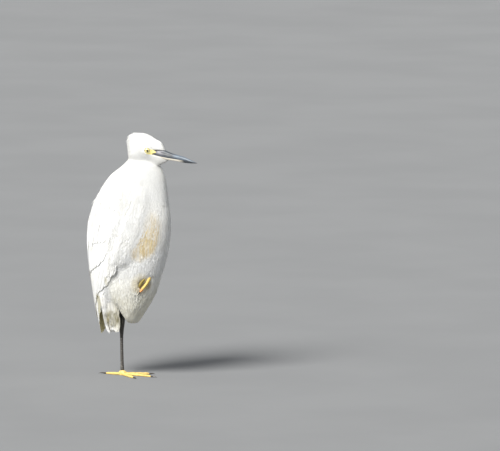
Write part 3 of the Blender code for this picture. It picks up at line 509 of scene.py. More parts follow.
def body_outward(points):
    """The way out of the body at these places, level with the ground."""
    back, front, half_width, _ = read(TRUNK_LINES, np.clip(points[:, 2], 0.12, 0.37))
    middle, reach = (back + front) / 2, (front - back) / 2
    out = np.stack([(points[:, 0] - middle) / reach**2, points[:, 1] / half_width**2, 0 * middle], axis=1)
    return unit(out)


def wing_breadth(height):
    shares = np.linspace(0, 1, 17)[:, None]
    line = wing_points(np.asarray(height, float)[None, :], shares, 1, 0.0)
    return np.linalg.norm(np.diff(line, axis=0), axis=-1).sum(axis=0)


def deselect():
    if bpy.context.object and bpy.context.object.mode != "OBJECT":
        bpy.ops.object.mode_set(mode="OBJECT")
    bpy.ops.object.select_all(action="DESELECT")


def select_only(obj):
    deselect()
    obj.select_set(True)
    bpy.context.view_layer.objects.active = obj


def apply_modifiers(obj):
    select_only(obj)
    for name in [m.name for m in obj.modifiers]:
        bpy.ops.object.modifier_apply(modifier=name)


def basic(name, shape, **sizes):
    """One of the basic forms, by this name."""
    deselect()
    getattr(bpy.ops.mesh, f"primitive_{shape}_add")(**sizes)
    obj = bpy.context.object
    bpy.ops.object.transform_apply()
    obj.name = name
    obj.data.name = name
    return obj


def drawn(name, rings, values=None):
    """A closed form drawn out ring by ring: a filled circle is extruded and each new ring set in its place.
    values, one number a ring, are kept on the points as the attribute "groove"."""
    sides = len(rings[0])
    obj = basic(name, "circle", vertices=sides, radius=1.0, fill_type="NGON")
    bpy.ops.object.mode_set(mode="EDIT")
    mesh = bmesh.from_edit_mesh(obj.data)
    mesh.verts.ensure_lookup_table()
    order = [v.index for v in mesh.verts]
    for k, place in zip(order, rings[0]):
        mesh.verts[k].co = place
    groove = [values[0] if values else 0.0] * sides
    for r, ring in enumerate(rings[1:], 1):
        bmesh.update_edit_mesh(obj.data)
        before = set(range(len(mesh.verts)))
        bpy.ops.mesh.extrude_region_move()
        mesh = bmesh.from_edit_mesh(obj.data)
        mesh.verts.ensure_lookup_table()
        fresh = []
        for k in order:
            made = [e.other_vert(mesh.verts[k]) for e in mesh.verts[k].link_edges]
            fresh.append(next(v.index for v in made if v.index not in before))
        for k, place in zip(fresh, ring):
            mesh.verts[k].co = place
        order = fresh
        groove += [values[r] if values else 0.0] * sides
    bmesh.ops.recalc_face_normals(mesh, faces=mesh.faces)
    bmesh.update_edit_mesh(obj.data)
    bpy.ops.object.mode_set(mode="OBJECT")
    if values:
        keep_values(obj, "groove", groove)
    return obj


def values_of(items, attribute, wide=1, kind=np.int32):
    """One property of all points, corners or faces of a mesh, this many numbers for each."""
    values = np.empty(len(items) * wide, kind)
    items.foreach_get(attribute, values)
    return values.reshape(-1, wide) if wide > 1 else values


def vertex_places(obj):
    return values_of(obj.data.vertices, "co", 3, float)


def vertex_normals(obj):
    return values_of(obj.data.vertices, "normal", 3, float)


def move_vertices(obj, places):
    obj.data.vertices.foreach_set("co", places.ravel())
    obj.data.update()


def keep_values(obj, name, values):
    """Keeps one number a point, as an attribute that a finish reads."""
    obj.data.attributes.new(name, "FLOAT", "POINT").data.foreach_set("value", values)


def give(obj, finish, slot, *nodes, smooth=None):
    """Finish, body and replaced nodes of a piece, and the angle up to which it is smooth. The slot is not
    used.
    """
    if smooth:
        select_only(obj)
        bpy.ops.object.shade_smooth_by_angle(angle=math.radians(smooth))
    obj.data.materials.clear()
    obj.data.materials.append(finish)
    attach(obj, "root")
    if nodes:
        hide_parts(*nodes)
    return obj


# Section: camera, light and floor


def direction(azimuth, elevation):
    """The way towards what stands at these angles, and the turn of what looks back from there."""
    a, e = math.radians(azimuth), math.radians(elevation)
    out = Vector((math.sin(a) * math.cos(e), -math.cos(a) * math.cos(e), math.sin(e)))
    return out, out.to_track_quat("Z", "Y").to_euler()


def photo_camera():
    back, turn = direction(VIEW_AZIMUTH, VIEW_ELEVATION)
    across = math.radians(VIEW_AZIMUTH)
    right = Vector((math.cos(across), math.sin(across), 0))
    target = right * ((PICTURE_WIDE / 2 - SOLE_PIXEL[0]) * PIXEL)
    target += back.cross(right) * ((SOLE_PIXEL[1] - PICTURE_HIGH / 2) * PIXEL)
    bpy.ops.object.camera_add(location=target + back * VIEW_DISTANCE, rotation=turn)
    camera = bpy.context.object
    camera.data.sensor_width = SENSOR
    camera.data.lens = SENSOR * VIEW_DISTANCE / (PICTURE_WIDE * PIXEL)
    camera.data.clip_end = VIEW_FAR
    bpy.context.scene.camera = camera


def soft_light(name, azimuth, elevation, spread, power, colour):
    """A far, wide light from this direction, whose shadows are soft."""
    out, turn = direction(azimuth, elevation)
    bpy.ops.object.light_add(type="SUN", location=out * LAMP_DISTANCE, rotation=turn)
    light = bpy.context.object
    light.name = name
    light.data.angle = math.radians(spread)
    light.data.energy = power
    light.data.color = colour


def feed(tree, socket, value):
    """Links another node's output to this socket, or sets a plain value on it."""
    if isinstance(value, bpy.types.NodeSocket):
        tree.links.new(value, socket)
    elif socket.type == "RGBA":
        socket.default_value = (*value, 1)
    else:
        socket.default_value = value


def node(tree, kind, **values):
    """A new node. A value named with a capital feeds that input, any other is the node's own setting."""
    made = tree.nodes.new("ShaderNode" + kind)
    for key, value in values.items():
        if key[0].isupper():
            feed(tree, made.inputs[key.replace("_", " ")], value)
        else:
            setattr(made, key, value)
    return made


def shader_of(finish):
    return finish.node_tree.nodes["Principled BSDF"]


def new_finish(name, colour, roughness, **sockets):
    finish = bpy.data.materials.new(name)
    finish.use_nodes = True
    for key, value in {"Base Color": colour, "Roughness": roughness, **sockets}.items():
        feed(finish.node_tree, shader_of(finish).inputs[key.replace("_", " ")], value)
    return finish, finish.node_tree


def mix_colours(tree, factor, first, second, blend="MIX"):
    """A colour mix. Each of factor, first and second is a socket or a plain value."""
    made = node(tree, "Mix", data_type="RGBA", blend_type=blend)
    for index, value in ((0, factor), (6, first), (7, second)):
        feed(tree, made.inputs[index], value)
    return made.outputs[2]


def calculate(tree, operation, *values):
    made = node(tree, "Math", operation=operation)
    for index, value in enumerate(values):
        feed(tree, made.inputs[index], value)
    return made.outputs[0]


def product(tree, first, second):
    return calculate(tree, "MULTIPLY", first, second)


def ranged(tree, value, low, high, to_low=0.0, to_high=1.0):
    """The value, led softly from low and high to the other two numbers."""
    made = node(tree, "MapRange", interpolation_type="SMOOTHSTEP")
    for index, number in enumerate((value, low, high, to_low, to_high)):
        feed(tree, made.inputs[index], number)
    return made.outputs[0]


def object_place(tree):
    return node(tree, "TexCoord").outputs["Object"]


def axes_of(tree, place):
    """X, Y and Z of a place."""
    return node(tree, "SeparateXYZ", Vector=place).outputs


def noise(tree, place, scale, detail, stretch=None):
    if stretch:
        place = node(tree, "Mapping", Vector=place, Scale=stretch).outputs["Vector"]
    return node(tree, "TexNoise", Vector=place, Scale=scale, Detail=detail).outputs["Fac"]


def finished(finish, colour, height=None, strength=0.0, depth=0.0):
    """Hands back a new finish with this colour and, if there is a height, its relief."""
    feed(finish.node_tree, shader_of(finish).inputs["Base Color"], colour)
    if height is not None:
        relief = node(finish.node_tree, "Bump", Height=height, Strength=strength, Distance=depth)
        feed(finish.node_tree, shader_of(finish).inputs["Normal"], relief.outputs["Normal"])
    return finish


def put_group(tree, group, **values):
    return node(tree, "Group", node_tree=group, **values)


def new_group(name, inputs, outputs):
    group = bpy.data.node_groups.new(name, "ShaderNodeTree")
    for label, kind in inputs:
        group.interface.new_socket(label, in_out="INPUT", socket_type="NodeSocket" + kind)
    for label, kind in outputs:
        group.interface.new_socket(label, in_out="OUTPUT", socket_type="NodeSocket" + kind)
    return group, group.nodes.new("NodeGroupInput"), group.nodes.new("NodeGroupOutput")


def near_place(tree, place, middle, size):
    """1 near a place and 0 past its size, softly. size is the reach along each axis."""
    location = [-m / s for m, s in zip(middle, size)]
    mapped = node(tree, "Mapping", Vector=place, Location=location, Scale=[1 / s for s in size])
    far = node(tree, "VectorMath", operation="LENGTH")
    tree.links.new(mapped.outputs["Vector"], far.inputs[0])
    return ranged(tree, far.outputs["Value"], 0.45, 1.0, 1.0, 0.0)


def mottled(tree, grain, colours, limits=(0.3, 0.7)):
    """Two colours mixed by a grain."""
    return mix_colours(tree, ranged(tree, grain, *limits), *colours)


def overlaid(tree, colour, overlay, zone, pattern, share):
    """The colour with another laid over it, as strong as zone, pattern and share together. Used for stains,
    painted shade and painted warm light.
    """
    strength = product(tree, product(tree, zone, pattern), share)
    return mix_colours(tree, strength, colour, overlay)


def markings_group():
    """Plumage colour by place: soft white, a cream lower belly that is partly stain and partly painted bounce
    light, stains and painted shade round the tucked foot, painted shade by the wings and the leg, and tan
    sides of the breast with painted warm light at the edge of their shade.
    """
    group, given, made = new_group("plumage_markings", [("White", "Color")], [("Colour", "Color")])
    place = object_place(group)
    broad = noise(group, place, 22, 2)
    colour = mix_colours(group, ranged(group, broad, 0.35, 0.7, 0.0, 0.5), given.outputs[0], WARM_WHITE)
    parts = axes_of(group, place)
    # Cream on the lower belly: partly stain, partly painted bounce light from below.
    ruffled = calculate(group, "MULTIPLY_ADD", broad, 0.05, parts["Z"])
    low = ranged(group, ruffled, *BELLY_STAIN_AND_BOUNCE_HEIGHTS)
    front = ranged(group, parts["X"], *BELLY_STAIN_AND_BOUNCE_FORWARD)
    colour = overlaid(group, colour, BELLY_CREAM, low, front, BELLY_STAIN_AND_BOUNCE_SHARE)
    patchy = ranged(group, noise(group, place, 230, 3, (1, 1, 0.22)), 0.25, 0.75, 0.5, 1.0)
    # Stains and painted shade round the tucked foot, and painted shade by the wings and the leg on both
    # sides.
    marked = [(overlay, -1) for overlay in FOOT_STAINS_AND_SHADE]
    marked += [(overlay, side) for overlay in SIDE_PAINTED_SHADE for side in (1, -1)]
    for (lies_on, height, round_by, size, share, overlay), side in marked:
        zone = near_place(group, place, stain_and_shade_place(lies_on, height, round_by, side), size)
        colour = overlaid(group, colour, overlay, zone, patchy, share)
    streaks = ranged(group, noise(group, place, 300, 2, (1, 1, 0.1)), 0.42, 0.62)
    streaks = ranged(group, streaks, 0.0, 1.0, 0.5, 1.0)
    # Tan of the breast's sides; the upper zone also paints warm light along the edge of the shade.
    for side in (1, -1):
        for height, angle, size, share in TAN_SIDES:
            zone = near_place(group, place, mirrored(trunk_at(height, angle, 0.0), side), size)
            colour = overlaid(group, colour, BREAST_TAN, zone, streaks, share)
    group.links.new(colour, made.inputs[0])
    return group


def vane_group():
    """The barbs of a feather from its own map, across in U and along in V: a height and a shaft mask."""
    outputs = [("Height", "Float"), ("Shaft", "Float")]
    group, given, made = new_group("feather_barbs", [("Barbs", "Float")], outputs)
    parts = axes_of(group, node(group, "UVMap", uv_map="Vane").outputs["UV"])
    aside = calculate(group, "ABSOLUTE", calculate(group, "SUBTRACT", parts["X"], 0.5))
    slant = calculate(group, "SUBTRACT", parts["Y"], product(group, aside, 0.55))
    wave = calculate(group, "SINE", product(group, slant, given.outputs[0]))
    group.links.new(wave, made.inputs[0])
    group.links.new(ranged(group, aside, 0.0, 0.06, 1.0, 0.0), made.inputs[1])
    return group


MARKINGS = markings_group()
BARBS = vane_group()


def plumage_finish(name, tan):
    """White feathers with markings, barbs and shaft, each a little darker towards its root: painted shade
    under the feathers that lie over it. The tint holds tan, brightness and the place along.
    """
    finish, tree = new_finish(
        name, FEATHER_WHITE, 0.82, Subsurface_Weight=0.45, Subsurface_Scale=0.0018,
        Subsurface_Radius=(1.0, 0.95, 0.85), Specular_IOR_Level=0.15,
    )
    marked = put_group(tree, MARKINGS, White=FEATHER_WHITE).outputs[0]
    own = node(tree, "Attribute", attribute_name="tint")
    tan_share, bright, along = node(tree, "SeparateColor", Color=own.outputs["Color"]).outputs[:3]
    colour = mix_colours(tree, tan_share, marked, tan)
    shade = ranged(tree, bright, 0.0, 1.0, 0.93, 1.0)
    # Painted shade: darker towards the root, under the feathers that cover it.
    dim = product(tree, shade, ranged(tree, along, 0.0, 0.5, 0.96, 1.0))
    grey = node(tree, "CombineColor", Red=dim, Green=dim, Blue=dim)
    colour = mix_colours(tree, 1.0, colour, grey.outputs[0], "MULTIPLY")
    lines = put_group(tree, BARBS, Barbs=BARBS_ALONG)
    colour = mix_colours(tree, product(tree, lines.outputs["Shaft"], 0.1), colour, SHAFT_CREAM)
    return finished(finish, colour, lines.outputs["Height"], 0.16, 0.0001)


def skin_finish():
    """White down over the body, and bare yellow skin round the eye and towards the bill."""
    finish, tree = new_finish("skin", SKIN_PLAIN, 0.7, Specular_IOR_Level=0.3)
    place = object_place(tree)
    down = put_group(tree, MARKINGS, White=DOWN_WHITE).outputs[0]
    own = node(tree, "Attribute", attribute_name="bare")
    patches = noise(tree, place, 900, 4)
    yellow = mottled(tree, patches, FACE_YELLOW, (0.35, 0.7))
    creases = ranged(tree, noise(tree, place, 1500, 2, (1, 1, 2.2)), 0.35, 0.5, 0.75, 1.0)
    dark = mix_colours(tree, creases, FACE_CREASE, yellow)
    colour = mix_colours(tree, own.outputs["Fac"], down, dark)
    return finished(finish, colour, patches, 0.4, 0.0003)


def bill_finish(name, pale):
    """Blue-black horn; the lower half is cream towards its base, the upper half grey round the nostril and
    lighter slate further on, a painted sheen.
    """
    finish, tree = new_finish(
        name, HORN_PLAIN, 0.34, Coat_Weight=0.1, Coat_Roughness=0.25, Specular_IOR_Level=0.38
    )
    place = object_place(tree)
    parts = axes_of(tree, place)
    grain = noise(tree, place, 420, 4, (0.18, 1, 1))
    wobble = calculate(tree, "MULTIPLY_ADD", grain, 0.008, parts["X"])
    colour = mottled(tree, grain, HORN_BLACK)
    if pale:
        base = ranged(tree, wobble, *CREAM_ENDS, 1.0, 0.0)
        colour = mix_colours(tree, base, colour, mottled(tree, grain, HORN_CREAM))
    else:
        base = ranged(tree, wobble, *GREY_ENDS, 1.0, 0.0)
        middle = ranged(tree, wobble, *SLATE_BEGINS)
        # Grey round the nostril, and slate further on as a painted sheen.
        for along, slope, over, colours in (
            (base, GREY_SLOPE, GREY_OVER, HORN_GREY),
            (middle, SLATE_SLOPE, SLATE_OVER, HORN_SLATE),
        ):
            level = calculate(tree, "MULTIPLY_ADD", parts["X"], slope, parts["Z"])
            zone = product(tree, along, ranged(tree, level, *over))
            colour = mix_colours(tree, zone, colour, mottled(tree, grain, colours))
    feed(tree, shader_of(finish).inputs["Roughness"], ranged(tree, grain, 0.2, 0.8, 0.34, 0.5))
    return finished(finish, colour, grain, 0.18, 0.0003)


def grained_finish(name, palette, roughness, scale, detail, limits=(0.3, 0.7), relief=(), **sockets):
    """A finish of two colours mixed by a grain. relief is the strength and depth of its bumps."""
    plain, *colours = palette
    finish, tree = new_finish(name, plain, roughness, **sockets)
    grain = noise(tree, object_place(tree), scale, detail)
    colour = mottled(tree, grain, colours, limits)
    return finished(finish, colour, grain if relief else None, *relief)


# Painted shade for the nostril's opening.
def nostril_finish():
    return grained_finish("nostril", NOSTRIL_SHADE_BLACK, 0.8, 2400, 3)


def scaly_group():
    """Skin of legs and toes: darker between the scutes, with small scales over all of it."""
    group, given, made = new_group(
        "scaly_skin",
        [("Plate", "Color"), ("Gap", "Color"), ("Scale", "Float")],
        [("Colour", "Color"), ("Height", "Float")],
    )
    plate, gap, scale = given.outputs[:3]
    place = object_place(group)
    cells = node(group, "TexVoronoi", feature="DISTANCE_TO_EDGE", Vector=place, Scale=scale)
    own = node(group, "Attribute", attribute_name="groove")
    edge = ranged(group, cells.outputs["Distance"], 0.0, 0.16, 0.55, 0.0)
    gaps = calculate(group, "MAXIMUM", edge, own.outputs["Fac"])
    blotch = ranged(group, noise(group, place, 260, 3), 0.3, 0.75, 0.0, 0.45)
    blotched = mix_colours(group, blotch, plate, gap)
    group.links.new(mix_colours(group, gaps, blotched, gap), made.inputs["Colour"])
    group.links.new(calculate(group, "SUBTRACT", 1.0, gaps), made.inputs["Height"])
    return group


SCALY = scaly_group()


def scaly_finish(name, colours, scale, roughness, warm=None, glints=None):
    """Scaly skin of these two colours, on demand with painted glints of light on the scales, or with an
    orange place.
    """
    plate, gap = colours
    finish, tree = new_finish(name, plate, roughness)
    scales = put_group(tree, SCALY, Plate=plate, Gap=gap, Scale=scale)
    colour = scales.outputs["Colour"]
    if glints:
        # Painted glints of light on the scales.
        glint_spots = ranged(tree, noise(tree, object_place(tree), 330, 2), 0.6, 0.7, 0.0, 0.75)
        colour = mix_colours(tree, glint_spots, colour, glints)
    if warm:
        zone = near_place(tree, object_place(tree), warm, (0.011, 0.011, 0.009))
        colour = mix_colours(tree, product(tree, zone, 0.8), colour, TOE_ORANGE)
    return finished(finish, colour, scales.outputs["Height"], 0.35, 0.0002)


def claw_finish():
    return grained_finish("claw_horn", CLAW_BLACK, 0.32, 700, 3, (0.3, 0.75), (0.2, 0.0002), Coat_Weight=0.3)


def eye_finish():
    """Pale yellow iris with fine rays, a dark rim and a black pupil, under a wet surface."""
    finish, tree = new_finish("eye", EYE_PLAIN, 0.12, Coat_Weight=1.0, Coat_Roughness=0.03)
    away = node(tree, "Attribute", attribute_name="off_axis").outputs["Fac"]
    iris = mottled(tree, noise(tree, object_place(tree), 2600, 3), IRIS_YELLOW)
    rim = ranged(tree, away, IRIS_RADIUS - 0.0006, IRIS_RADIUS)
    colour = mix_colours(tree, rim, iris, IRIS_RIM)
    pupil = ranged(tree, away, PUPIL_RADIUS - 0.00012, PUPIL_RADIUS + 0.00012, 1.0, 0.0)
    return finished(finish, mix_colours(tree, pupil, colour, PUPIL_BLACK))


def lid_finish():
    return grained_finish("lids", LID_YELLOW, 0.6, 1900, 4, (0.35, 0.65), (0.7, 0.0003))


def floor_finish():
    """Plain pale board, very faintly clouded."""
    return grained_finish("floor", FLOOR_GREY, 0.9, 3, 4)


def studio():
    photo_camera()
    for lamp in LAMPS:
        soft_light(*lamp)
    floor = basic("floor", "plane", size=FLOOR_SIZE)
    floor.data.materials.append(floor_finish())
    world = bpy.data.worlds.new("studio")
    world.use_nodes = True
    sky = world.node_tree.nodes["Background"]
    sky.inputs["Color"].default_value = SKY_COLOUR
    sky.inputs["Strength"].default_value = SKY_STRENGTH
    bpy.context.scene.world = world
    bpy.context.scene.view_settings.view_transform = "Standard"


# Section: skin


def trunk_rings():
    low, high = TRUNK_SPAN
    angles = np.linspace(0, 360, 48, endpoint=False)
    return [trunk_points(low + (high - low) * s, angles, 0.0) for s in eased(44)]


def head_rings():
    start, end = HEAD[0][0], HEAD[-1][0]
    turns = np.linspace(0, math.tau, 40, endpoint=False)
    rings = []
    for s in eased(30):
        x = start + (end - start) * s
        chin, crown, half_width = read(HEAD_LINES, x)
        middle, reach = (chin + crown) / 2, (crown - chin) / 2
        rings.append([(x, half_width * math.cos(t), middle + reach * math.sin(t)) for t in turns])
    return rings


def wing_core_rings(side):
    rings = []
    shares = np.linspace(0.02, 0.97, 12)
    for s in eased(26):
        height = WING_TOP + (WING_CORE_FOOT - WING_TOP) * s
        outer = -0.001 - 0.0034 * s - 0.0016 * (1 - np.sin(math.pi * shares) ** 0.5)
        inner = -0.014 + 0.0065 * float(smoothstep(0.6, 1.0, s))
        face = wing_points(height, shares, side, outer)
        back = wing_points(height, shares[::-1], side, inner)
        rings.append(np.concatenate([face, back]))
    return rings


def flank_rings(side):
    """A filling ahead of the wing's front edge, so that breast and flank run smoothly onto the wing."""
    rings = []
    for s in eased(30):
        height = FLANK_FOOT + FLANK_HIGH * s
        step = float(smoothstep(0.216, 0.196, height))
        sunk = 0.005 * (1 - math.sin(math.pi * s) ** 0.35)
        last = read(WING_LINES, height)[4]
        ahead = side * (180 - last)
        near = wing_points(height, 0.88, side, -0.0026 - 0.002 * step - sunk)
        edge = wing_points(height, 1.0, side, 0.0018 - 0.0036 * step - sunk)
        front = trunk_points(height, ahead - side * (30 - 12 * step), -sunk - 0.001 * step)
        middle = (edge + front) / 2
        middle = middle + body_outward(middle[None])[0] * (0.003 - 0.003 * step)
        inner = trunk_points(height, ahead - side * 8, -0.014)
        under = wing_points(height, 0.76, side, -0.014)
        rings.append([near, edge, middle, front, inner, under])
    return rings


def vent_rings():
    turns = np.linspace(0, math.tau, 24, endpoint=False)
    return [vent_points(np.asarray(height), turns, -0.002 - inside) for height, inside in zip(*VENT_CORE)]


def away_from_bill(points):
    return np.linalg.norm(points - BILL_BASE, axis=1)


def coat_depth(points):
    """How thick the coat is over the skin at these places."""
    return np.interp(away_from_bill(points), AWAY, COAT_DEPTH)


def from_eyes(points):
    """Distance of each point from the middle of the nearer eye."""
    eye = np.array(EYE_AT)
    left = np.linalg.norm(points - eye, axis=1)
    right = np.linalg.norm(points - eye * [1, -1, 1], axis=1)
    return np.minimum(left, right)


def about_axis(points, middle, axis):
    """How far ahead of the middle the points lie along the axis, and how far off it."""
    ahead = (points - middle) @ axis
    return ahead, np.linalg.norm(points - middle - ahead[:, None] * axis, axis=1)


def curve_through(points, count, *columns):
    """The length of the way through these points, and smooth lines by distance along it."""
    steps = np.cumsum([0.0] + [(b - a).length for a, b in zip(points, points[1:])])
    return steps[-1], dense([(d, *p, *more) for d, p, *more in zip(steps, points, *columns)], count)


def way_along(lines, length, s):
    """The direction in which a curve runs at this share of its length."""
    before, after = max(0.0, length * s - 1e-4), min(length, length * s + 1e-4)
    return Vector(np.array(read(lines, after)[:3]) - np.array(read(lines, before)[:3]))


def smoothed(points, count):
    """A smooth curve of this many points through a few."""
    length, lines = curve_through(points, 120)
    return [Vector(read(lines, length * i / (count - 1))) for i in range(count)]


def from_tucked_foot(points):
    """Distance of each point from the parts of the tucked toes that show."""
    least = np.full(len(points), 1.0)
    for _, places, _ in TUCKED_TOES:
        line = [trunk_at(*place) for place in places if place[2] > SHOWN_LIFT]
        for p in smoothed(line, 16) if line else []:
            least = np.minimum(least, np.linalg.norm(points - np.array(p), axis=1))
    return least


def bare_share(points):
    """How bare of feathers the skin is: 1 round the eye and on the lores, 0 elsewhere."""
    x, _, z = points.T
    mouth = np.interp(x, *LORES_FOOT)
    top = np.interp(x, [0.056, 0.062, *BILL_CAP[0][1:]], [0.4142, 0.4146, *BILL_CAP[1][1:]])
    lores = smoothstep(-0.0006, 0.0006, z - mouth + 0.0004) * smoothstep(-0.0006, 0.0006, top - z)
    lores *= smoothstep(0.0598, 0.061, x) * smoothstep(0.079, 0.0775, x)
    return np.maximum(lores, smoothstep(0.0066, 0.0056, from_eyes(points)))


def build_skin():
    """One skin from the belly to the face, under the feathers by the coat's depth."""
    forms = [drawn("skin", trunk_rings()), drawn("head_form", head_rings())]
    forms += [drawn("wing_form", wing_core_rings(side)) for side in (1, -1)]
    forms += [drawn("flank_form", flank_rings(side)) for side in (1, -1)]
    forms.append(drawn("vent_form", vent_rings()))
    skin = forms[0]
    select_only(skin)
    for form in forms:
        form.select_set(True)
    bpy.ops.object.join()
    remesh = skin.modifiers.new("one_surface", "REMESH")
    remesh.mode = "VOXEL"
    remesh.voxel_size = SKIN_VOXEL
    apply_modifiers(skin)
    places = vertex_places(skin)
    soft = skin.vertex_groups.new(name="soft")
    weights = np.round(0.25 + 0.75 * smoothstep(0.02, 0.055, away_from_bill(places)), 2)
    for weight in np.unique(weights):
        soft.add(np.flatnonzero(weights == weight).tolist(), float(weight), "REPLACE")
    ease = skin.modifiers.new("ease", "SMOOTH")
    ease.iterations = 22
    ease.vertex_group = "soft"
    apply_modifiers(skin)
    refine_face(skin)
    shape_skin(skin)
    return skin


def subdivide_where(skin, test, smoothness):
    """Splits the faces of the skin all of whose corners pass the test."""
    select_only(skin)
    inside = test(*vertex_places(skin).T)
    chosen = np.array([all(inside[i] for i in p.vertices) for p in skin.data.polygons])
    bpy.ops.object.mode_set(mode="EDIT")
    bpy.ops.mesh.select_all(action="DESELECT")
    bpy.ops.object.mode_set(mode="OBJECT")
    skin.data.polygons.foreach_set("select", chosen)
    bpy.ops.object.mode_set(mode="EDIT")
    bpy.ops.mesh.subdivide(number_cuts=1, smoothness=smoothness)
    bpy.ops.object.mode_set(mode="OBJECT")


def refine_face(skin):
    """Smaller faces from the eyes to the bill, and smaller still on the bare skin."""
    subdivide_where(skin, lambda x, y, z: (x > 0.05) & (z > 0.392), 0.6)
    subdivide_where(skin, lambda x, y, z: (x > 0.053) & (x < 0.079) & (z > 0.401) & (z < 0.419), 0.4)


def bill_lines_at(x):
    """The bill's lines at these places, for skin before and behind it too."""
    return read(BILL_LINES, np.clip(x, 0.0701, 0.156))


def sink_under_coat(places, normals):
    """Leaves room for the coat, and a hollow for the tucked toes."""
    hollow = 0.0022 * np.exp(-((from_tucked_foot(places) / 0.0055) ** 2))
    hollow *= smoothstep(0.15, 0.166, places[:, 2])
    places -= normals * (coat_depth(places) + hollow)[:, None]


def shape_round_bill(places):
    """Draws the skin in where the horn begins, and bulges the forehead over the culmen."""
    x, y, z = places.T
    culmen, mouth, _, _ = bill_lines_at(x)
    begins = bill_edge(np.clip((z - mouth) / (culmen - mouth), 0, 1))
    in_front = smoothstep(begins - 0.0002, begins + 0.0022, x)
    cap = np.minimum(np.interp(x, *BILL_CAP), culmen)
    beside = smoothstep(-0.001, 0.0002, z - mouth) * smoothstep(0.0005, -0.0005, z - cap)
    places[:, 1] *= 1 - 0.55 * in_front * beside
    above = smoothstep(-0.0004, 0.001, z - culmen) * (np.abs(y) < 0.02)
    bulge = 0.002 * np.exp(-(((x - 0.079) / 0.007) ** 2)) * above
    places[:, 0] += 0.7 * bulge
    places[:, 2] += 0.8 * bulge


def shape_round_eye(places, side):
    eye = np.array(mirrored(EYE_AT, side))
    out = np.array(mirrored(EYE_FACING, side))
    ahead, off = about_axis(places, eye, out)
    near = smoothstep(0.0095, 0.0058, off) * (ahead > -0.004) * (ahead < 0.008)
    places += out * ((np.interp(off, *EYE_SOCKET) - ahead) * near)[:, None]


def shape_skin(skin):
    places = vertex_places(skin)
    sink_under_coat(places, vertex_normals(skin))
    shape_round_bill(places)
    for side in (1, -1):
        shape_round_eye(places, side)
    keep_values(skin, "bare", bare_share(places))
    move_vertices(skin, places)


def unwrap(points):
    """Places on a map of the skin: the body rolled off round its height, the head round its length."""
    x, y, z = points.T
    head = z > 0.388 - 0.35 * (x - 0.05)
    back, front, _, _ = read(TRUNK_LINES, z)
    body_turn = np.arctan2(y, x - (back + front) / 2) / math.tau + 0.5
    head_turn = np.arctan2(y, 0.408 - z) / math.tau + 0.5
    u = np.where(head, head_turn, body_turn)
    v = np.where(head, 0.78 + (x - 0.012) / 0.09 * 0.2, 0.02 + (z - 0.07) / 0.33 * 0.72)
    return np.stack([0.01 + 0.95 * u, np.clip(v, 0.01, 0.99)], axis=1)


def map_skin(skin):
    """The skin's own bake map."""
    mesh = skin.data
    flat = unwrap(vertex_places(skin))[values_of(mesh.loops, "vertex_index")]
    starts = values_of(mesh.polygons, "loop_start")
    face = np.repeat(np.arange(len(starts)), values_of(mesh.polygons, "loop_total"))
    high = np.maximum.reduceat(flat[:, 0], starts)[face]
    low = np.minimum.reduceat(flat[:, 0], starts)[face]
    wraps = (high - low > 0.5) & (flat[:, 0] < 0.5)
    flat[wraps, 0] += 0.95
    layer = mesh.uv_layers.new(name="OFBake")
    layer.uv.foreach_set("vector", np.clip(flat, 0, 1).astype(np.float32).ravel())


# Section: plumage


def evened(normals, mesh, times):
    """Normals averaged with their neighbours' this many times, so that small creases don't turn feathers."""
    ends = values_of(mesh.edges, "vertices", 2)
    both = np.concatenate([ends[:, 0], ends[:, 1]])
    others = np.concatenate([ends[:, 1], ends[:, 0]])
    for _ in range(times):
        around = [np.bincount(both, normals[others, i], len(normals)) for i in range(3)]
        normals = unit(normals + np.stack(around, axis=1))
    return normals


class Surface:
    """The finished skin as a surface that feathers are laid on."""

    def __init__(self, skin):
        mesh = skin.data
        mesh.calc_loop_triangles()
        self.corners = values_of(mesh.loop_triangles, "vertices", 3)
        self.places = vertex_places(skin)
        self.normals = evened(vertex_normals(skin), mesh, 14)
        self.tree = BVHTree.FromPolygons(self.places.tolist(), self.corners.tolist())
        a, b, c = (self.places[self.corners[:, i]] for i in range(3))
        self.areas = np.linalg.norm(np.cross(b - a, c - a), axis=1) / 2
        self.top = None

    def cover(self, pieces):
        """Adds pieces that later feathers are laid over."""
        places, corners, offset = [self.places], [self.corners], len(self.places)
        for piece in pieces:
            places.append(vertex_places(piece))
            corners.append(values_of(piece.data.loops, "vertex_index").reshape(-1, 3) + offset)
            offset += len(places[-1])
        places, corners = np.concatenate(places), np.concatenate(corners)
        self.top = BVHTree.FromPolygons(places.tolist(), corners.tolist())

    def settle(self, points):
        """The nearest places on the skin and the directions away from it there."""
        found = [self.tree.find_nearest(p) for p in points.tolist()]
        places = np.array([f[0] for f in found])
        index = np.array([f[2] for f in found])
        return places, unit(self.normals[self.corners[index]].mean(axis=1))

    def settle_over(self, points):
        """As settle, but on top of the pieces that cover the skin."""
        outs = body_outward(points)
        places = points.copy()
        for index, (place, out) in enumerate(zip(points, outs)):
            hit = self.top.ray_cast(Vector(place + out * 0.02), Vector(-out), 0.04)[0]
            if hit is not None:
                places[index] = hit
        return places, outs

    def sample(self, count):
        """Places spread at random over the skin, evenly by area."""
        chosen = random.choice(len(self.areas), count, p=self.areas / self.areas.sum())
        r = np.sqrt(random.random(count))[:, None]
        s = random.random(count)[:, None]
        a, b, c = (self.places[self.corners[chosen, i]] for i in range(3))
        places = a * (1 - r) + b * (r * (1 - s)) + c * (r * s)
        return places, unit(self.normals[self.corners[chosen]].mean(axis=1))


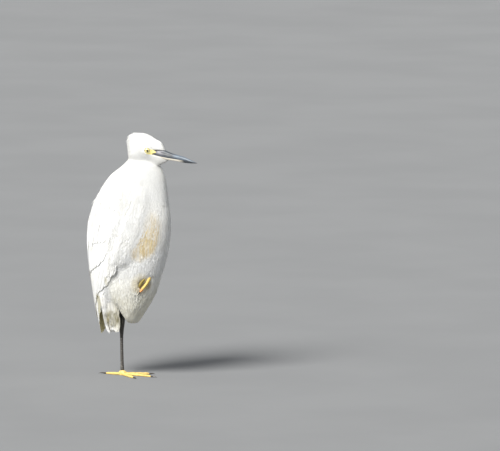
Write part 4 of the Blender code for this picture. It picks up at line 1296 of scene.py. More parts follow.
def thinned(points, spacing):
    """Indices of points kept so that no two are nearer than the spacing."""
    grid, kept = {}, []
    near = [(i, j, k) for i in (-1, 0, 1) for j in (-1, 0, 1) for k in (-1, 0, 1)]
    least = spacing * spacing
    cells = np.floor(points / spacing).astype(int)
    for index, ((a, b, c), (x, y, z)) in enumerate(zip(cells.tolist(), points.tolist())):
        around = (p for i, j, k in near for p in grid.get((a + i, b + j, c + k), ()))
        if all((p[0] - x) ** 2 + (p[1] - y) ** 2 + (p[2] - z) ** 2 >= least for p in around):
            grid.setdefault((a, b, c), []).append((x, y, z))
            kept.append(index)
    return np.array(kept)


def scatter(surface, mask, spacing, tries):
    """Evenly spaced places on the part of the skin that the mask lets through."""
    places, normals = surface.sample(tries * 4)
    fits = np.flatnonzero(mask(places))[:tries]
    places, normals = places[fits], normals[fits]
    kept = thinned(places, spacing)
    return places[kept], normals[kept]


def lie(points, normals):
    """The way feathers point: away from the bill over the head, then down the neck and body."""
    y, z = points[:, 1], points[:, 2]
    down = smoothstep(0.03, 0.085, away_from_bill(points))[:, None]
    out = unit(points - LIE_FROM)
    low = smoothstep(0.2, 0.11, z)
    sideways = -0.25 * low * np.sign(y) * smoothstep(0.0, 0.02, np.abs(y))
    drop = np.stack([-0.12 - 0.3 * low, sideways, -np.ones(len(z))], axis=1)
    way = out * (1 - down) + unit(drop) * down
    way -= normals * (way * normals).sum(axis=1, keepdims=True)
    return unit(way)


def turned(ways, normals, angles):
    """Directions turned about the normals by these angles."""
    aside = np.cross(ways, normals)
    return ways * np.cos(angles)[:, None] + aside * np.sin(angles)[:, None]


class Feathers:
    """The centre lines of many feathers, laid from their roots along the skin."""

    def __init__(self, settle, roots, normals, ways, long, sections, stiff=0.0):
        self.sections = np.array(sections)
        places, outs, way = [roots], [normals], ways
        for step in np.diff(self.sections):
            settled, out = settle(places[-1] + way * (long * step)[:, None])
            flat = way - out * (way * out).sum(axis=1, keepdims=True)
            places.append(settled)
            outs.append(out)
            way = unit(0.75 * unit(flat) + 0.25 * lie(settled, out))
        self.places = np.stack(places, axis=1)
        self.outs = np.stack(outs, axis=1)
        straight = ways[:, None] * (long[:, None] * self.sections)[..., None]
        rise = ((roots[:, None] + straight - self.places) * self.outs).sum(axis=2)
        self.stand = np.maximum(0.0, rise) * stiff

    @classmethod
    def along(cls, rows, sections):
        """Centre lines through rows of given places and outward directions."""
        lines = cls.__new__(cls)
        lines.sections = np.array(sections)
        lines.places = np.stack([places for places, _ in rows], axis=1)
        lines.outs = np.stack([outs for _, outs in rows], axis=1)
        lines.stand = np.zeros(lines.places.shape[:2])
        return lines

    def gather(self, spacing, strength):
        """Draws the feathers together towards their tips, into locks this far apart."""
        roots = self.places[:, 0]
        heads = thinned(roots, spacing)
        tree = KDTree(len(heads))
        for index, place in enumerate(roots[heads].tolist()):
            tree.insert(place, index)
        tree.balance()
        nearest = heads[[tree.find(p)[1] for p in roots.tolist()]]
        pull = strength * self.sections[None, :, None] ** 1.3
        goal = self.places[nearest] - self.places
        goal -= self.outs * (goal * self.outs).sum(axis=2, keepdims=True)
        self.places = self.places + goal * pull


def feather_mesh(feathers, wide, lift, profile, thick, tint):
    """Points, corners, normals, maps and tints of many feathers, each three-sided with a pointed tip."""
    places, outs = feathers.places, feathers.outs
    count, rows = places.shape[:2]
    high = lift + feathers.stand
    along = unit(np.gradient(places + outs * high[..., None], axis=1))
    aside = unit(np.cross(along, outs))
    face_out = unit(np.cross(aside, along))
    profile = np.array(profile)
    half = wide[:, None] * profile[None, :]
    edge = (high - half**2 / 0.05)[..., None]
    middle = places + outs * (high + thick[:, None] * profile[None, :] ** 0.5)[..., None]
    left = places - aside * half[..., None] + outs * edge
    right = places + aside * half[..., None] + outs * edge
    ring = np.stack([left, middle, right], axis=2)[:, : rows - 1]
    tip = places[:, -1] + outs[:, -1] * high[:, -1:]
    points = np.concatenate([ring.reshape(count, -1, 3), tip[:, None]], axis=1)
    lean = unit(face_out + outs)
    turns = [unit(lean - aside * ROUNDING), unit(lean), unit(lean + aside * ROUNDING)]
    turns = np.stack(turns, axis=2)[:, : rows - 1]
    normals = np.concatenate([turns.reshape(count, -1, 3), unit(lean[:, -1])[:, None]], axis=1)
    per = points.shape[1]
    faces = [(0, 2, 1)]
    for i in range(rows - 2):
        low = 3 * i
        for a, b in ((low, low + 1), (low + 1, low + 2), (low + 2, low)):
            faces += [(a, b, b + 3), (a, b + 3, a + 3)]
    last, end = per - 4, per - 1
    faces += [(last, last + 1, end), (last + 1, last + 2, end), (last + 2, last, end)]
    kinds = [2] + [0, 0, 0, 0, 1, 1] * (rows - 2) + [0, 0, 1]
    faces = np.array(faces)
    shown = normals[:, faces]
    shown[:, np.array(kinds) == 1] *= -1
    shown[:, 0] = -along[:, :1]
    corners = (faces[None] + (np.arange(count) * per)[:, None, None]).reshape(-1)
    across = np.append(np.tile([0.0, 0.5, 1.0], rows - 1), 0.5)
    far = np.append(np.repeat(feathers.sections[: rows - 1], 3), 1.0)
    return {
        "points": points.reshape(-1, 3),
        "corners": corners,
        "corner_normals": shown.reshape(-1, 3),
        "local": np.tile(np.stack([across, far], axis=1), (count, 1)),
        "root": np.repeat(places[:, 0], per, axis=0),
        "tint": np.repeat(tint, per, axis=0),
        "far": np.tile(far, count),
    }


def make_coat(name, parts, finish, *nodes):
    """One object from the points and corners of many feathers."""
    offset, corners = 0, []
    for part in parts:
        corners.append(part["corners"] + offset)
        offset += len(part["points"])
    corners = np.concatenate(corners)
    keys = ("points", "corner_normals", "local", "root", "tint", "far")
    whole = {key: np.concatenate([part[key] for part in parts]) for key in keys}
    mesh = bpy.data.meshes.new(name)
    mesh.vertices.add(len(whole["points"]))
    mesh.vertices.foreach_set("co", whole["points"].astype(np.float32).ravel())
    mesh.loops.add(len(corners))
    mesh.loops.foreach_set("vertex_index", corners.astype(np.int32))
    mesh.polygons.add(len(corners) // 3)
    mesh.polygons.foreach_set("loop_start", np.arange(0, len(corners), 3, dtype=np.int32))
    mesh.update(calc_edges=True)
    bake = np.clip(unwrap(whole["root"]) + (whole["local"] - 0.5) * [0.0022, -0.003], 0.001, 0.999)
    for label, map_places in (("OFBake", bake), ("Vane", whole["local"])):
        flat = map_places[corners].astype(np.float32).ravel()
        mesh.uv_layers.new(name=label).uv.foreach_set("vector", flat)
    tint = np.concatenate([whole["tint"], whole["far"][:, None], np.ones((offset, 1))], axis=1)
    layer = mesh.attributes.new("tint", "FLOAT_COLOR", "POINT")
    layer.data.foreach_set("color", tint.astype(np.float32).ravel())
    mesh.shade_smooth()
    mesh.normals_split_custom_set(whole["corner_normals"].astype(np.float32))
    piece = bpy.data.objects.new(name, mesh)
    bpy.context.scene.collection.objects.link(piece)
    return give(piece, finish, "plumage", *nodes)


# Feather shapes: places of the sections along it, its width there, and how its lift over the skin grows.
VANE = (0.0, 0.36, 0.68, 0.88, 1.0), (0.5, 1.0, 0.9, 0.5, 0.0), (-0.35, 0.4, 0.82, 1.0, 1.04)
WISP = (0.0, 0.35, 0.72, 1.0), (0.7, 1.0, 0.75, 0.0), (-0.15, 0.8, 1.0, 1.02)
PLUME = (
    (0.0, 0.14, 0.3, 0.46, 0.62, 0.78, 0.91, 1.0),
    (0.35, 0.8, 1.0, 0.95, 0.82, 0.6, 0.32, 0.0),
    (-0.4, 0.45, 0.8, 1.0, 1.0, 1.0, 1.0, 1.0),
)

# How thick small feathers and wisps are, as a share of their width.
VANE_THICKNESS = 0.12
WISP_THICKNESS = 0.5

# Places tried for feathers and wisps of the coat, at the wing's edges and between the wings.
COAT_TRIES, BARB_TRIES, EDGE_TRIES, BACK_TRIES = 60000, 90000, 30000, 20000

# Coat over the skin: name, nearest and farthest from the bill, spacing of feathers, spacing of wisps,
# half width of a wisp, spacing of locks.
REGIONS = [
    ("face", 0.000, 0.022, 0.00072, 0.0007, 0.00009, 0.0018),
    ("cheeks", 0.022, 0.045, 0.00105, 0.0009, 0.00013, 0.0026),
    ("crown_and_throat", 0.045, 0.08, 0.0015, 0.00108, 0.00018, 0.0036),
    ("neck", 0.08, 0.135, 0.002, 0.0014, 0.00025, 0.005),
    ("body", 0.135, 0.5, 0.0025, 0.0017, 0.00032, 0.0062),
]


def feather_sizes(points):
    """Length and half width of the feathers at these places, smaller near the bill, the eyes and the foot."""
    away = away_from_bill(points)
    long = np.interp(away, AWAY, FEATHER_LONG)
    wide = np.interp(away, AWAY, FEATHER_WIDE)
    hollow = np.linalg.norm(points - LEG_HOLLOW, axis=1)
    limit = 0.0014 + 0.6 * np.maximum(from_eyes(points) - EYE_RADIUS, 0)
    limit = np.minimum(limit, 0.006 + 0.9 * np.maximum(from_tucked_foot(points) - 0.003, 0))
    limit = np.minimum(limit, 0.008 + 0.35 * np.maximum(hollow - 0.012, 0))
    share = np.minimum(1.0, limit / long)
    return long * share, wide * share**0.8


def covered_by_wing(points):
    share = wing_share(points)
    height = points[:, 2]
    last = 0.93 - 0.06 * smoothstep(0.2, 0.23, height)
    return (share > 0.05) & (share < last) & (height < 0.34) & (height > 0.09)


def feathered(points):
    """True where feathers grow: not on bare skin, not under the wing, not where toes lie."""
    x, _, z = points.T
    culmen, mouth, _, _ = bill_lines_at(x)
    cap = np.minimum(np.interp(x, *BILL_CAP), culmen + 0.0002)
    in_bill = (x > 0.0695) & (z > mouth - 0.0002) & (z < cap)
    by_toe = from_tucked_foot(points) < 0.003
    return ~((bare_share(points) > 0.25) | in_bill | by_toe | covered_by_wing(points))


def random_tint(count):
    """No tan and a random brightness for each feather."""
    return np.stack([np.zeros(count), random.random(count)], axis=1)


def lay(surface, roots, normals, long, wide, shape, ends, turn=0.1, way=None, stiff=0.0, locks=None,
        thick=VANE_THICKNESS, depth=None):
    """Feathers of one kind, laid from their roots. ends is how far their tips stand over the coat. With a way
    given, they lie that way over the wings too."""
    count = len(roots)
    sections, profile, rise = shape
    ways = lie(roots, normals) if way is None else way
    ways = turned(ways, normals, random.normal(0, turn, count))
    long = long * random.uniform(0.8, 1.2, count)
    wide = wide * random.uniform(0.85, 1.15, count)
    settle = surface.settle if way is None else surface.settle_over
    feathers = Feathers(settle, roots, normals, ways, long, sections, stiff)
    if locks:
        feathers.gather(*locks)
    depth = (coat_depth(roots) if depth is None else depth) * random.uniform(0.93, 1.07, count)
    ends = ends * random.uniform(0.5, 1.5, count)
    lift = depth[:, None] * np.array(rise) + ends[:, None] * np.array(sections) ** 2
    return feather_mesh(feathers, wide, lift, profile, thick * wide, random_tint(count))


def region_mask(low, high):
    def mask(points):
        away = away_from_bill(points)
        return (away >= low) & (away < high) & feathered(points)

    return mask


def coat_over_skin(surface, finish):
    """Small overlapping feathers over head, neck, breast and belly, and fine loose barbs over them."""
    for name, low, high, spacing, wisp_spacing, wisp_wide, locks in REGIONS:
        mask = region_mask(low, high)
        roots, normals = scatter(surface, mask, spacing, COAT_TRIES)
        long, wide = feather_sizes(roots)
        fluff = 0.06 * smoothstep(0.15, 0.11, roots[:, 2])
        part = lay(surface, roots, normals, long, wide, VANE, 0.0, stiff=fluff[:, None])
        make_coat(f"coat_{name}", [part], finish)
        roots, normals = scatter(surface, mask, wisp_spacing, BARB_TRIES)
        long, wide = feather_sizes(roots)
        fluff = 0.05 * smoothstep(0.15, 0.11, roots[:, 2])
        ends = 0.1 * coat_depth(roots)
        narrow = np.minimum(wide, wisp_wide)
        part = lay(surface, roots, normals, long * 1.05, narrow, WISP, ends, 0.14, None, fluff[:, None],
                   (locks, 0.55), WISP_THICKNESS)
        make_coat(f"barbs_{name}", [part], finish)


def beside_wing(points):
    """The strip of breast and flank just ahead of the wing's front edge."""
    share = wing_share(points)
    first = 0.93 - 0.09 * smoothstep(0.225, 0.26, points[:, 2])
    return (share > first) & (share < 1.2) & (points[:, 2] > 0.206) & (points[:, 2] < 0.356)


def above_wing(points):
    """The band of mantle, shoulder and neck just above the wing's top."""
    share = wing_share(points)
    return (points[:, 2] > 0.334) & (points[:, 2] < 0.366) & (share > -0.6) & (share < 1.3)


def between_wings(points):
    share = wing_share(points)
    return (points[:, 2] > 0.3) & (points[:, 2] < 0.35) & (share < 0.3) & (points[:, 0] < 0.0)


def back_and_down(normals, back):
    """The way down along the skin, and back by this much."""
    way = np.array([-back, 0.0, -1.0])
    return unit(way - normals * (normals @ way)[:, None])


# Feathers over the wing's edges: where, spacing, length, half width and how far back they lean.
SHOULDERS = [
    (beside_wing, 0.003, 0.026, 0.0046, 0.55),
    (above_wing, 0.003, 0.028, 0.005, 0.12),
]


def shoulder_feathers(surface, finish):
    """Feathers of the flank, shoulder and back that lie over the edges of the folded wings."""
    parts = []
    for mask, spacing, long, wide, back in SHOULDERS:
        roots, normals = scatter(surface, mask, spacing, EDGE_TRIES)
        way = back_and_down(normals, back)
        parts.append(lay(surface, roots, normals, long, wide, VANE, 0.0, 0.12, way, depth=0.0009))
        roots, normals = scatter(surface, mask, spacing * 0.55, EDGE_TRIES)
        way = back_and_down(normals, back)
        parts.append(lay(surface, roots, normals, long * 1.1, 0.00032, WISP, 0.0004, 0.16, way, 0.0,
                         (0.006, 0.55), WISP_THICKNESS, 0.0012))
    make_coat("coat_shoulders", parts, finish)
    roots, normals = scatter(surface, between_wings, 0.0042, BACK_TRIES)
    long = random.uniform(0.03, 0.095, len(roots))
    way = back_and_down(normals, 0.05)
    part = lay(surface, roots, normals, long, 0.0034, PLUME, 0.0002, 0.1, way, depth=0.0009)
    make_coat("scapular_plumes", [part], finish)


def at_nape(points):
    x, y, z = points.T
    return (x < 0.041) & (z > 0.404) & (np.abs(y) < 0.017)


# Feathers of the crest: spacing, half width, shape and thickness as a share of their width.
CREST = [(0.0015, 0.0009, VANE, VANE_THICKNESS), (0.001, 0.00018, WISP, WISP_THICKNESS)]
CREST_TRIES = 8000


def crest(surface, finish):
    """Longer feathers at the back of the crown, standing out into a square, ragged corner."""
    parts = []
    for spacing, wide, shape, thick in CREST:
        roots, normals = scatter(surface, at_nape, spacing, CREST_TRIES)
        high = smoothstep(0.41, 0.436, roots[:, 2])
        long, ends = 0.007 + 0.007 * high, 0.0004 + 0.0008 * high
        parts.append(lay(surface, roots, normals, long, wide, shape, ends, 0.16, None, 0.45 * high[:, None],
                         (0.0045, 0.6), thick))
    make_coat("crest", parts, finish)


def plume_angle(height, share):
    """Angle on the trunk of a breast plume: share runs from the fan's edge on the flank to its front one."""
    flank = np.interp(height, *PLUME_FLANK)
    front = np.interp(height, *PLUME_FRONT)
    return flank + (front - flank) * share


def breast_plumes(surface, finish):
    """Long narrow plumes that fan out down the breast's sides, tan in their lower part, ending raggedly."""
    parts = []
    sections, profile, rise = PLUME
    for side in (1, -1):
        share = random.random(PLUME_COUNT)
        top = random.uniform(0.255, 0.322, PLUME_COUNT)
        low = random.uniform(0.201, 0.246, PLUME_COUNT)
        drift = random.normal(0, 0.05, PLUME_COUNT)
        rows = []
        for s in sections:
            height = top + (low - top) * s
            angle = side * plume_angle(height, share + drift * s)
            rows.append(surface.settle_over(trunk_points(height, angle, 0.0)))
        line = Feathers.along(rows, sections)
        line.gather(0.008, 0.22)
        wide = random.uniform(0.0007, 0.0015, PLUME_COUNT)
        depth = random.uniform(0.0017, 0.0027, PLUME_COUNT)
        lift = depth[:, None] * np.array(rise)
        part = feather_mesh(line, wide, lift, profile, 0.25 * wide, random_tint(PLUME_COUNT))
        tan = random.uniform(0.45, 1.0, PLUME_COUNT) * (random.random(PLUME_COUNT) < 0.82)
        high = part["points"][:, 2]
        zone = smoothstep(0.3, 0.262, high) * smoothstep(0.208, 0.226, high)
        part["tint"][:, 0] = np.repeat(tan, len(high) // PLUME_COUNT) * zone
        parts.append(part)
    make_coat("breast_plumes", parts, finish)


# Section: wings and tail

FEATHER_COLUMNS = (-1.0, -0.72, -0.4, -0.07, 0.0, 0.07, 0.4, 0.72, 1.0)
FEATHER_ROWS = (
    0.0, 0.06, 0.13, 0.2, 0.28, 0.36, 0.44, 0.52, 0.6,
    0.67, 0.74, 0.8, 0.85, 0.89, 0.93, 0.96, 0.985, 1.0,
)


def feather_master():
    """A flat feather, one wide each way of the shaft and one long, closed and thin at its edges."""
    wide, long = len(FEATHER_COLUMNS), len(FEATHER_ROWS)
    master = basic("master", "grid", x_subdivisions=wide - 1, y_subdivisions=long - 1, size=2)
    places = vertex_places(master)
    columns = np.rint((places[:, 0] + 1) / 2 * (wide - 1)).astype(int)
    rows = np.rint((places[:, 1] + 1) / 2 * (long - 1)).astype(int)
    across, along = np.array(FEATHER_COLUMNS)[columns], np.array(FEATHER_ROWS)[rows]
    move_vertices(master, np.stack([across, along, np.zeros(len(places))], axis=1))
    wall = master.modifiers.new("thickness", "SOLIDIFY")
    wall.thickness = 1.0
    wall.offset = -1
    apply_modifiers(master)
    master.modifiers.new("triangles", "TRIANGULATE")
    apply_modifiers(master)
    places = vertex_places(master)
    corners = np.array([list(p.vertices) for p in master.data.polygons])
    bpy.data.objects.remove(master)
    return places, corners


def outline(rows, blunt):
    """Share of the full width along a feather."""
    rise = 0.42 + 0.58 * smoothstep(0.0, 0.42, rows)
    end = np.sqrt(np.maximum(0.0, 1 - np.maximum(0, (rows - 1 + blunt) / blunt) ** 2.2))
    return rise * end


def frayed(columns, rows, amount):
    """Small splits in the edges of one feather: edge points pulled in towards the shaft."""
    pull = np.zeros(len(columns))
    for _ in range(random.poisson(amount)):
        side = random.choice([-1.0, 1.0])
        row = random.choice(FEATHER_ROWS[5:-3])
        hit = (np.abs(columns - side) < 0.01) & (np.abs(rows - row) < 0.01)
        pull[hit] = random.uniform(0.1, 0.32)
    return pull


MASTER_POINTS, MASTER_CORNERS = feather_master()


def laid_feather(surface_at, half_width, blunt, camber, tint, fray, lean, under_shade=0.0):
    """One large feather bent on a surface. surface_at(aside, along) gives points and outward directions for a
    distance aside from its centre line and a share along it."""
    columns, rows, under = MASTER_POINTS.T
    pull = frayed(columns, rows, fray)
    width = outline(rows, blunt) * (1 - pull)
    aside = columns * half_width * width
    sweep = -0.1 * np.abs(columns) * (1 - rows) * 0.5
    share = np.clip(rows + sweep + 0.04 * pull, 0, 1)
    places, outs = surface_at(aside, share)
    shaft = np.exp(-((columns / 0.07) ** 2)) * (1 - 0.6 * rows)
    edge = 1 - np.abs(columns) ** 2
    top = shaft * SHAFT_THICK * 0.35 + lean * columns - camber * columns**2
    wall = QUILL_THICK * (0.3 + 0.7 * edge) * (0.45 + 0.55 * (1 - rows))
    height = np.where(under < -0.5, top - wall, top)
    points = places + outs * height[:, None]
    tints = np.repeat(np.array([tint]), len(points), axis=0)
    # Painted khaki shade on the feather's underside, growing along its length.
    tints[:, 0] = np.maximum(tints[:, 0], under_shade * (under < -0.5) * smoothstep(0.1, 0.5, rows))
    corners = outward_corners(points)
    return {
        "points": points,
        "corners": corners.reshape(-1),
        "corner_normals": feather_normals(points, corners)[corners.reshape(-1)],
        "local": np.stack([columns / 2 + 0.5, rows], axis=1),
        "root": np.repeat(places[np.argmin(rows)][None], len(points), axis=0),
        "tint": tints,
        "far": rows,
    }


def outward_corners(points):
    """The master's triangles, turned round where the feather's bend has put them inside out."""
    a, b, c = (points[MASTER_CORNERS[:, i]] - points[0] for i in range(3))
    volume = (a * np.cross(b, c)).sum()
    return MASTER_CORNERS if volume > 0 else MASTER_CORNERS[:, ::-1]


def feather_normals(points, corners):
    a, b, c = (points[corners[:, i]] for i in range(3))
    flat = np.cross(b - a, c - a)
    total = np.zeros_like(points)
    for i in range(3):
        np.add.at(total, corners[:, i], flat)
    return unit(total)


def sunk_root(along, depth, share):
    """How deep a large feather lies: most at its root, and not at all past this share of its length."""
    return depth * np.clip(1 - along / share, 0, 1) ** 1.5


def wing_feather(side, share, root, tip, lift):
    """surface_at for a feather on the folded wing."""

    def surface_at(aside, along):
        height = root + (tip - root) * along
        place = share + aside / wing_breadth(height)
        high = lift - sunk_root(along, VANE_SINK, 0.45)
        before, after = (wing_points(height, place + step, side, high) for step in (-0.01, 0.01))
        under, over = (wing_points(height + step, place, side, high) for step in (-0.002, 0.002))
        outs = unit(np.cross(after - before, over - under)) * side
        return wing_points(height, place, side, high), -outs

    return surface_at


def build_wing(side, name, finish):
    parts = []
    for _, count, roots, tips, half_width, lift, kind in TIERS:
        for i in range(count):
            t = i / (count - 1)
            share = 0.05 + kind["span"] * t
            root = roots[0] + (roots[1] - roots[0]) * t
            tip = tips[0] + (tips[1] - tips[0]) * t**1.3 + random.normal(0, 0.0018)
            wide = half_width * random.uniform(0.92, 1.08)
            dive = kind["dive"] * float(smoothstep(0.72, 1.0, t))
            at = wing_feather(side, share, root, tip, lift - dive)
            tint = (0.0, random.random())
            lean = SHINGLE * kind["lean"]
            fray, shade_khaki = kind["fray"], kind["shade_khaki"]
            parts.append(laid_feather(at, wide, kind["blunt"], 0.0003, tint, fray, lean, shade_khaki))
    return make_coat(name, parts, finish, name.replace("plumage_", ""))


def tail_surface(share, tip, forward):
    """surface_at for a feather of the tail: share from -1 to 1 across it, forward off its middle plane."""

    def surface_at(aside, along):
        height = TAIL_ROOT.z + (tip - TAIL_ROOT.z) * along
        down = (TAIL_ROOT.z - height) / (TAIL_ROOT.z - TAIL_TIP.z)
        y = share * (TAIL_ROOT_SPREAD + (TAIL_TIP_SPREAD - TAIL_ROOT_SPREAD) * down) + aside
        x = TAIL_ROOT.x + (TAIL_TIP.x - TAIL_ROOT.x) * down + forward * (0.35 + 0.65 * along)
        x = x - 0.0018 * np.sin(math.pi * down) + 14 * y**2
        outs = np.stack([-np.ones(len(x)), -28 * y, np.full(len(x), -0.1)], axis=-1)
        return np.stack([x, y, height], axis=-1), unit(outs)

    return surface_at


def vent_surface(turn, root, tip, lift):
    """surface_at for an undertail covert: turn is its angle round the vent from straight ahead."""

    def surface_at(aside, along):
        height = root + (tip - root) * along
        high = lift - sunk_root(along, 0.005, 0.4) - 0.0016 * np.clip((along - 0.75) / 0.25, 0, 1) ** 2
        breadth = vent_points(height, turn + 0.02, high) - vent_points(height, turn - 0.02, high)
        angle = turn + aside * 0.04 / np.maximum(np.linalg.norm(breadth, axis=1), 1e-6)
        outs = np.stack([np.cos(angle), np.sin(angle) * 0.8, 0 * angle], axis=-1)
        return vent_points(height, angle, high), unit(outs)

    return surface_at


def curtain_surface(forward, root, tip, lift, side):
    """surface_at for a feather that hangs beside the leg, its edge turned in towards it."""

    def surface_at(aside, along):
        height = root + (tip - root) * along
        x = forward + aside
        past = np.maximum(0, x + 0.004)
        ahead = np.clip((x + 0.012) / 0.015, -1, 1) * smoothstep(0.12, 0.15, height)
        out = np.interp(height, *CURTAIN) * (1 + 0.09 * ahead) - 60 * past**2
        y = side * (out + lift - sunk_root(along, 0.005, 0.4))
        outs = np.stack([0.1 + 40 * past, np.full(len(x), side), np.full(len(x), -0.15)], axis=-1)
        return np.stack([x, y, height], axis=-1), unit(outs)

    return surface_at


def tail_quills():
    parts = []
    for pair in range(TAIL_PAIRS):
        for side in (1, -1):
            share = side * (pair + 0.5) / TAIL_PAIRS
            tip = TAIL_TIP.z + 0.004 * share**2 + random.normal(0, 0.0008)
            forward = TAIL_STEP * pair + (0.0003 if side > 0 else 0)
            at = tail_surface(share, tip, forward)
            tint = (0.1, random.random())
            parts.append(laid_feather(at, TAIL_VANE, 0.1, 0.0002, tint, 1.5, 0.0004 * side))
    return parts


def soft_covert(at, lean, narrow, wide=None):
    """A blunt, loose, faintly tan feather of the undertail or curtain. wide is the most it may be."""
    tint = (0.14 * random.random(), random.random())
    half_width = random.uniform(narrow, wide) if wide else narrow
    return laid_feather(at, half_width, 0.5, 0.0002, tint, 2.5, lean)


def undertail():
    parts = []
    for root, tip, lift, count, half_width in UNDERTAIL_ROWS:
        for i in range(count):
            turn = math.radians(165 * (2 * (i + random.uniform(-0.15, 0.15)) / (count - 1) - 1))
            low = tip + random.normal(0, 0.003) + 0.002 * abs(math.sin(turn))
            at = vent_surface(turn, root, low, lift)
            parts.append(soft_covert(at, 0.0005, half_width))
    return parts


def curtain():
    parts = []
    for root, tip, lift in CURTAIN_ROWS:
        for i in range(2 * CURTAIN_COLUMNS):
            side = 1 if i % 2 else -1
            place = (i // 2 + random.uniform(-0.2, 0.2)) / (CURTAIN_COLUMNS - 1)
            forward = CURTAIN_BACK + (CURTAIN_FRONT[side] - CURTAIN_BACK) * place
            low = tip + random.normal(0, 0.0024)
            at = curtain_surface(forward, root, low, lift + random.uniform(0, 0.0005), side)
            parts.append(soft_covert(at, 0.0003, *CURTAIN_WIDTHS))
    return parts


def build_tail(finish):
    return make_coat("plumage_tail", tail_quills() + undertail() + curtain(), finish, "tail")


# Section: bill


def bill_edge(level):
    """Where the horn begins and the skin ends: level runs from the mouth line up to the culmen."""
    bay = 0.0066 * np.exp(-(((level - 0.45) / 0.2) ** 2))
    return BILL_START + bay - 0.0016 * smoothstep(0.3, 0.0, level)


def bill_ring(x, upper):
    """One section of a bill half, with the long groove that holds the nostril on the upper one."""
    culmen, mouth, keel, half_width = read(BILL_LINES, x)
    edge = mouth + 0.0001 if upper else mouth - 0.0001
    height = (culmen if upper else keel) - edge
    groove = float(smoothstep(0.069, 0.074, x) * smoothstep(0.118, 0.096, x)) if upper else 0.0
    shift = max(0.0, 1 - (x - BILL_START) / 0.012) if upper else 0.0
    ring = []
    for k in range(BILL_SIDES + 1):
        angle = math.pi * k / BILL_SIDES
        level = math.sin(angle) ** ROUND_HORN
        dent = 0.14 * groove * math.exp(-(((level - 0.62) / 0.17) ** 2))
        tomium = 0.05 * math.exp(-((level / 0.1) ** 2))
        across = half_width * math.cos(angle) * (1 - dent + tomium)
        at = x + (float(bill_edge(level)) - BILL_START) * shift
        ring.append((at, across, edge + height * level))
    for k in range(1, BILL_FLAT):
        t = -1 + 2 * k / BILL_FLAT
        ring.append((x, half_width * t * 0.92, edge + height * 0.06 * (1 - t * t)))
    return ring


def build_bill():
    end = BILL[-1][0]
    for half, upper, slot, start in BILL_HALVES:
        name = f"bill_{half}_horn"
        places = [start + (end - start) * (i / 45) ** 0.95 for i in range(46)]
        horn = drawn(name, [bill_ring(x, upper) for x in places])
        give(horn, bill_finish(name, not upper), slot, f"bill_{half}", smooth=60)
    dark = nostril_finish()
    for side, name in ((1, "nostril_left"), (-1, "nostril_right")):
        nostril(side, name, dark)


def nostril(side, name, finish):
    """A narrow slit in the groove, near-black: painted shade of the nostril's opening."""
    rings = []
    angle = math.asin(NOSTRIL_LEVEL ** (1 / ROUND_HORN))
    for s in np.linspace(0, 1, 14):
        x = 0.0835 + 0.0095 * s
        culmen, mouth, _, half_width = read(BILL_LINES, x)
        across = side * half_width * math.cos(angle) * 0.905
        middle = Vector((x, across, mouth + (culmen - mouth) * NOSTRIL_LEVEL))
        size = max(0.02, math.sin(math.pi * s) ** 0.6)
        wide, high = 0.0003 * size, 0.00042 * size
        turns = np.linspace(0, math.tau, 8, endpoint=False)
        rings.append([middle + Vector((0, wide * math.cos(t), high * math.sin(t))) for t in turns])
    give(drawn(name, rings), finish, "bill_dark", smooth=60)


# Section: eyes


def facing(side):
    """The eye's middle, the way it looks, and the turn of a form that looks that way."""
    out = mirrored(EYE_FACING, side)
    return mirrored(EYE_AT, side), out, out.to_track_quat("Z", "Y").to_euler()


def build_eye(side, name, finish):
    middle, out, turn = facing(side)
    sizes = {"segments": 48, "ring_count": 36, "radius": EYE_RADIUS}
    eye = basic("ball_" + name, "uv_sphere", location=middle, rotation=turn, **sizes)
    places = vertex_places(eye)
    ahead, off = about_axis(places, np.array(middle), np.array(out))
    bulge = 0.0004 * smoothstep(IRIS_RADIUS, 0.0, off) * (ahead > 0)
    keep_values(eye, "off_axis", np.where(ahead > 0, off, 1.0))
    move_vertices(eye, places + np.array(out) * bulge[:, None])
    give(eye, finish, "iris", name, smooth=80)


def build_lids(side, name, finish):
    """Upper and lower lid as one thick-edged ring, drawn to a point at both corners."""
    middle, out, turn = facing(side)
    start = middle + out * (EYE_RADIUS * 0.52)
    sizes = {"major_segments": 56, "minor_segments": 14, "major_radius": LID_RING, "minor_radius": LID_THICK}
    ring = basic(name, "torus", location=start, rotation=turn, **sizes)
    local = vertex_places(ring) - np.array(start)
    axis = np.array(out)
    up = np.array([0, 0, 1.0]) - axis * axis[2]
    up = up / np.linalg.norm(up)
    aside = np.cross(axis, up)
    high, far, ahead = local @ up, local @ aside, local @ axis
    off = np.hypot(high, far)
    far_off = np.maximum(off, 1e-6)
    corner = (np.abs(far) / far_off) ** 8
    squeeze = 1 - 0.12 * np.abs(high) / far_off
    wide = (EYE_OPENING + (off - LID_RING)) * squeeze + 0.0005 * corner
    base = np.sqrt(np.maximum(EYE_RADIUS**2 - wide**2, 0.0023**2))
    rise = base + ahead * 0.5 - 0.0003 * corner
    flat = (aside * far[:, None] + up * high[:, None]) * (wide / far_off)[:, None]
    move_vertices(ring, np.array(middle) + flat + axis * rise[:, None])
    give(ring, finish, "iris", smooth=80)


# Section: legs and feet


def round_ring(centre, ahead, radius_at, sides, floor=None):
    ahead = ahead.normalized()
    aside = ahead.cross(Vector((0, 0, 1)))
    if aside.length < 0.05:
        aside = Vector((0, 1, 0))
    aside.normalize()
    up = aside.cross(ahead)
    ring = []
    for k in range(sides):
        angle = math.tau * (k + 0.5) / sides
        p = centre + (aside * math.cos(angle) + up * math.sin(angle)) * radius_at(angle)
        if floor is not None:
            p.z = max(p.z, floor)
        ring.append(p)
    return ring


